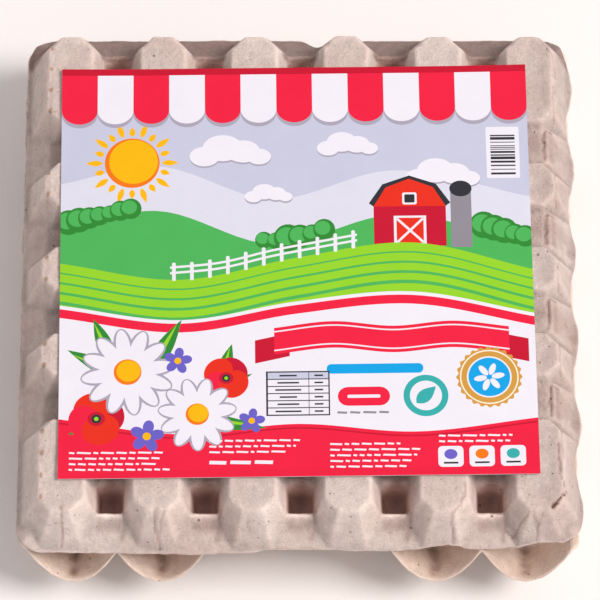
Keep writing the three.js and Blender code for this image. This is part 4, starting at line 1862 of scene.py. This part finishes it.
def set_inputs(modifier: bpy.types.Modifier, values: dict[str, object]) -> None:
    """Give a Geometry Nodes modifier its inputs by the sockets' identifiers.

    Args:
        modifier: The modifier.
        values: Input name to value.
    """
    for item in modifier.node_group.interface.items_tree:
        if item.item_type == "SOCKET" and item.in_out == "INPUT" and item.name in values:
            modifier[item.identifier] = values[item.name]


def start_tree(name: str, sockets: dict[str, str]) -> tuple[bpy.types.NodeTree, bpy.types.NodeOutputs]:
    """Start a Geometry Nodes tree with a geometry input and other named inputs.

    Args:
        name: Name of the tree.
        sockets: Input name to socket type.

    Returns:
        The tree and its group inputs.
    """
    tree = bpy.data.node_groups.new(name, "GeometryNodeTree")
    tree.interface.new_socket("Geometry", in_out="OUTPUT", socket_type="NodeSocketGeometry")
    tree.interface.new_socket("Geometry", in_out="INPUT", socket_type="NodeSocketGeometry")
    for key, kind in sockets.items():
        tree.interface.new_socket(key, in_out="INPUT", socket_type=kind)
    return tree, add_node(tree, "NodeGroupInput").outputs


def finish_tree(
    tree: bpy.types.NodeTree, shape: bpy.types.NodeSocket, material: bpy.types.NodeSocket
) -> None:
    """End a tree in Realize Instances and Set Material.

    Args:
        tree: The tree.
        shape: The geometry so far.
        material: The material that it gets.
    """
    realized = add_node(tree, "GeometryNodeRealizeInstances", {0: shape}).outputs[0]
    dressed = add_node(tree, "GeometryNodeSetMaterial", {0: realized, "Material": material}).outputs[0]
    add_node(tree, "NodeGroupOutput", {0: dressed})


def pulp_skin_tree() -> bpy.types.NodeTree:
    """Tree that raises the lumps and wrinkles of dried pulp along a shell's normals.

    Returns:
        The tree.
    """
    sizes = ("Lump Depth", "Lump Size", "Wrinkle Depth", "Wrinkle Size")
    sockets = {**dict.fromkeys(sizes, "NodeSocketFloat"), "Material": "NodeSocketMaterial"}
    tree, given = start_tree("pulp_skin", sockets)
    place = add_node(tree, "GeometryNodeInputPosition").outputs[0]
    normal = add_node(tree, "GeometryNodeInputNormal").outputs[0]
    total = None
    for key in ("Lump", "Wrinkle"):
        scale = add_node(
            tree, "ShaderNodeMath", {0: 1.0, 1: given[f"{key} Size"]}, operation="DIVIDE"
        ).outputs[0]
        noise = add_node(
            tree, "ShaderNodeTexNoise", {"Vector": place, "Scale": scale, "Detail": 3.0}
        ).outputs[0]
        centred = add_node(tree, "ShaderNodeMath", {0: noise, 1: 0.5}, operation="SUBTRACT").outputs[0]
        depth = add_node(
            tree, "ShaderNodeMath", {0: centred, 1: given[f"{key} Depth"]}, operation="MULTIPLY"
        ).outputs[0]
        if total is None:
            total = depth
        else:
            total = add_node(tree, "ShaderNodeMath", {0: total, 1: depth}, operation="ADD").outputs[0]
    offset = add_node(tree, "ShaderNodeVectorMath", {0: normal, "Scale": total}, operation="SCALE")
    moved = add_node(
        tree, "GeometryNodeSetPosition", {"Geometry": given["Geometry"], "Offset": offset.outputs[0]}
    ).outputs[0]
    finish_tree(tree, moved, given["Material"])
    return tree


def fibre_tree() -> bpy.types.NodeTree:
    """Tree that scatters short fibres and flakes over the parts of a shell that face up or out.

    Returns:
        The tree.
    """
    sizes = dict.fromkeys(("Density", "Length", "Width", "Lowest"), "NodeSocketFloat")
    sockets = {**sizes, "Seed": "NodeSocketInt", "Material": "NodeSocketMaterial"}
    tree, given = start_tree("pulp_fibres", sockets)
    place = add_node(tree, "GeometryNodeInputPosition").outputs[0]
    height = add_node(tree, "ShaderNodeSeparateXYZ", {0: place}).outputs[2]
    levels = {0: height, 1: given["Lowest"]}
    high = add_node(
        tree, "FunctionNodeCompare", levels, data_type="FLOAT", operation="GREATER_THAN"
    ).outputs[0]
    spots = add_node(
        tree,
        "GeometryNodeDistributePointsOnFaces",
        {"Mesh": given["Geometry"], "Selection": high, "Density": given["Density"], "Seed": given["Seed"]},
    )
    flake = add_node(tree, "GeometryNodeMeshIcoSphere", {"Radius": 0.5, "Subdivisions": 1}).outputs[0]
    spin = add_node(
        tree, "FunctionNodeRandomValue", {2: 0.0, 3: 2 * math.pi, "Seed": given["Seed"]}, data_type="FLOAT"
    ).outputs[1]
    about = add_node(tree, "FunctionNodeAxisAngleToRotation", {"Axis": (0.0, 0.0, 1.0), "Angle": spin})
    turned = add_node(
        tree,
        "FunctionNodeRotateRotation",
        {0: spots.outputs["Rotation"], 1: about.outputs[0]},
        rotation_space="LOCAL",
    ).outputs[0]
    stretch = add_node(
        tree, "FunctionNodeRandomValue", {2: 0.35, 3: 1.0, "Seed": given["Seed"]}, data_type="FLOAT"
    ).outputs[1]
    length = add_node(
        tree, "ShaderNodeMath", {0: given["Length"], 1: stretch}, operation="MULTIPLY"
    ).outputs[0]
    thin = add_node(tree, "ShaderNodeMath", {0: given["Width"], 1: 0.45}, operation="MULTIPLY").outputs[0]
    scale = add_node(tree, "ShaderNodeCombineXYZ", {0: length, 1: given["Width"], 2: thin}).outputs[0]
    placed = add_node(
        tree,
        "GeometryNodeInstanceOnPoints",
        {"Points": spots.outputs[0], "Instance": flake, "Rotation": turned, "Scale": scale},
    ).outputs[0]
    finish_tree(tree, placed, given["Material"])
    return tree


def applied(piece: bpy.types.Object, tree: bpy.types.NodeTree, values: dict[str, object]) -> None:
    """Run a tree on a piece and keep the result as its plain mesh.

    Args:
        piece: The object.
        tree: The Geometry Nodes tree.
        values: Its named inputs.
    """
    modifier = piece.modifiers.new(tree.name, "NODES")
    modifier.node_group = tree
    set_inputs(modifier, values)
    result = piece.evaluated_get(bpy.context.evaluated_depsgraph_get())
    mesh = bpy.data.meshes.new_from_object(result)
    piece.modifiers.remove(modifier)
    old = piece.data
    piece.data = mesh
    bpy.data.meshes.remove(old)
    mesh.name = piece.name


@dataclass(frozen=True)
class LooseFibres:
    """One kind of short fibre that lies on the pulp: a square metre's count, and millimetre sizes."""

    kind: str
    finish: PulpFinish
    density: float
    length: float
    width: float
    seed: int


@dataclass
class EggPack:
    """The whole pack: both trays with their loose fibres, and the label."""

    lid: LidTray
    base: BaseTray
    label: CardLabel
    lid_finish: PulpFinish
    base_finish: PulpFinish
    card_finish: CardFinish
    fibre_kinds: tuple[LooseFibres, ...]
    lump: tuple[float, float] = (0.5, 6.0)
    wrinkle: tuple[float, float] = (0.28, 2.2)

    def skinned(
        self, piece: bpy.types.Object, tree: bpy.types.NodeTree, material: bpy.types.Material
    ) -> None:
        """Give a tray its lumpy pulp skin.

        Args:
            piece: The tray.
            tree: The skin's tree.
            material: Its pulp.
        """
        sizes = {
            "Lump Depth": self.lump[0] * MM,
            "Lump Size": self.lump[1] * MM,
            "Wrinkle Depth": self.wrinkle[0] * MM,
            "Wrinkle Size": self.wrinkle[1] * MM,
            "Material": material,
        }
        applied(piece, tree, sizes)

    def fibres(
        self,
        name: str,
        tray: bpy.types.Object,
        tree: bpy.types.NodeTree,
        sizes: dict[str, object],
    ) -> bpy.types.Object:
        """Scatter fibres on a tray, as a piece of their own.

        Args:
            name: Name of the new piece.
            tray: The tray that they lie on.
            tree: The scattering tree.
            sizes: The tree's inputs.

        Returns:
            The fibres.
        """
        piece = linked_object(name, tray.data.copy())
        applied(piece, tree, sizes)
        return piece

    def make(self) -> None:
        """Build every piece, dress it, hang it under the root and hide the frame's part that it replaces."""
        skin, scatter = pulp_skin_tree(), fibre_tree()
        lid_pulp, base_pulp = self.lid_finish.material(), self.base_finish.material()
        fibre_pulps = [kind.finish.material() for kind in self.fibre_kinds]
        lid = self.lid.build()
        self.skinned(lid, skin, lid_pulp)
        base = self.base.build()
        self.skinned(base, skin, base_pulp)
        label = self.label.build()
        label.data.materials.append(self.card_finish.material())
        for tray, piece in ((self.lid, lid), (self.base, base)):
            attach(piece, ROOT)
            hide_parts(tray.node)
            self.report(piece)
            for fibre, material in zip(self.fibre_kinds, fibre_pulps):
                sizes = {
                    "Density": fibre.density,
                    "Length": fibre.length * MM,
                    "Width": fibre.width * MM,
                    "Lowest": tray.fibres_above * MM,
                    "Seed": fibre.seed,
                    "Material": material,
                }
                loose = self.fibres(f"{piece.name}_{fibre.kind}_fibres", piece, scatter, sizes)
                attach(loose, ROOT)
                self.report(loose)
        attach(label, ROOT)
        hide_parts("label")
        self.report(label)

    def report(self, piece: bpy.types.Object) -> None:
        """Log a finished piece's size."""
        piece.data.calc_loop_triangles()
        LOG.info("%s: %d triangles", piece.name, len(piece.data.loop_triangles))


@dataclass(frozen=True)
class Studio:
    """A pale floor, soft light from the right and in front, and the photo's camera."""

    floor_half: float = 3000.0
    elevation: float = 66.0
    distance: float = 2245.0
    aim: tuple[float, float, float] = (0.0, -18.65, 78.0)
    lens: float = 258.4
    sensor: float = 36.0
    floor_tint: str = "#F7F7F7"
    sky_tint: str = "#FCF3F2"
    sky_strength: float = 0.56
    lamp_tint: str = "#FFF7F3"
    lamp_place_m: tuple[float, float, float] = (4.2, -0.8, 4.9)
    lamp_side_m: float = 2.6
    lamp_watts: float = 335.0

    def floor(self) -> None:
        """Lay the floor."""
        half = self.floor_half * MM
        mesh = bpy.data.meshes.new("floor")
        corners = [(-half, -half, 0.0), (half, -half, 0.0), (half, half, 0.0), (-half, half, 0.0)]
        mesh.from_pydata(corners, [], [(0, 1, 2, 3)])
        material, tree = fresh_material("pale_floor")
        surface = add_node(
            tree, "ShaderNodeBsdfPrincipled", {"Base Color": linear_colour(self.floor_tint), "Roughness": 0.9}
        )
        add_node(tree, "ShaderNodeOutputMaterial", {0: surface.outputs[0]})
        mesh.materials.append(material)
        floor = linked_object("floor", mesh)

    def light(self) -> None:
        """Hang the square lamp that looks at the pack, and set the sky."""
        light = bpy.data.lights.new("key", "AREA")
        light.size = self.lamp_side_m
        light.energy = self.lamp_watts
        light.color = linear_colour(self.lamp_tint)[:3]
        lamp = linked_object("key", light)
        lamp.location = self.lamp_place_m
        lamp.rotation_euler = (-Vector(self.lamp_place_m)).to_track_quat("-Z", "Y").to_euler()
        world = bpy.data.worlds.new("studio")
        world.use_nodes = True
        background = world.node_tree.nodes["Background"]
        background.inputs["Color"].default_value = linear_colour(self.sky_tint)
        background.inputs["Strength"].default_value = self.sky_strength
        bpy.context.scene.world = world

    def camera(self) -> None:
        """Stand the camera where the photo was taken from."""
        data = bpy.data.cameras.new("camera")
        data.lens = self.lens
        data.sensor_width = self.sensor
        data.clip_end = 50.0
        camera = linked_object("camera", data)
        angle = math.radians(self.elevation)
        away = Vector((0.0, -math.cos(angle), math.sin(angle))) * self.distance * MM
        camera.location = Vector(self.aim) * MM + away
        camera.rotation_euler = (-away).to_track_quat("-Z", "Y").to_euler()
        bpy.context.scene.camera = camera


def main() -> None:
    """Load the frame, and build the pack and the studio."""
    logging.basicConfig(level=logging.INFO, format="%(name)s: %(message)s")
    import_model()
    studio = Studio()
    studio.camera()
    studio.light()
    studio.floor()
    dark_fibre = PulpFinish("dark_fibre", "#6A5A50", "#4E413A", stained=False)
    pale_fibre = PulpFinish("pale_fibre", "#E3D6CC", "#D6C6BB", stained=False)
    pack = EggPack(
        lid=LidTray("lid_tray", "upper_tray", UPPER_RELIEF, 1.03),
        base=BaseTray("base_tray", "lower_tray", LOWER_RELIEF, 1.3),
        label=CardLabel(),
        lid_finish=PulpFinish("lid_pulp", "#E0D3CC", "#D4C2BA"),
        base_finish=PulpFinish("base_pulp", "#E0CEC0", "#D2BDAE", stained=False),
        card_finish=CardFinish(),
        fibre_kinds=(
            LooseFibres("dark", dark_fibre, density=5200.0, length=1.3, width=0.34, seed=3),
            LooseFibres("pale", pale_fibre, density=9000.0, length=2.2, width=0.26, seed=8),
        ),
    )
    pack.make()
    bpy.context.scene.view_settings.view_transform = "Standard"


if __name__ == "__main__":
    main()
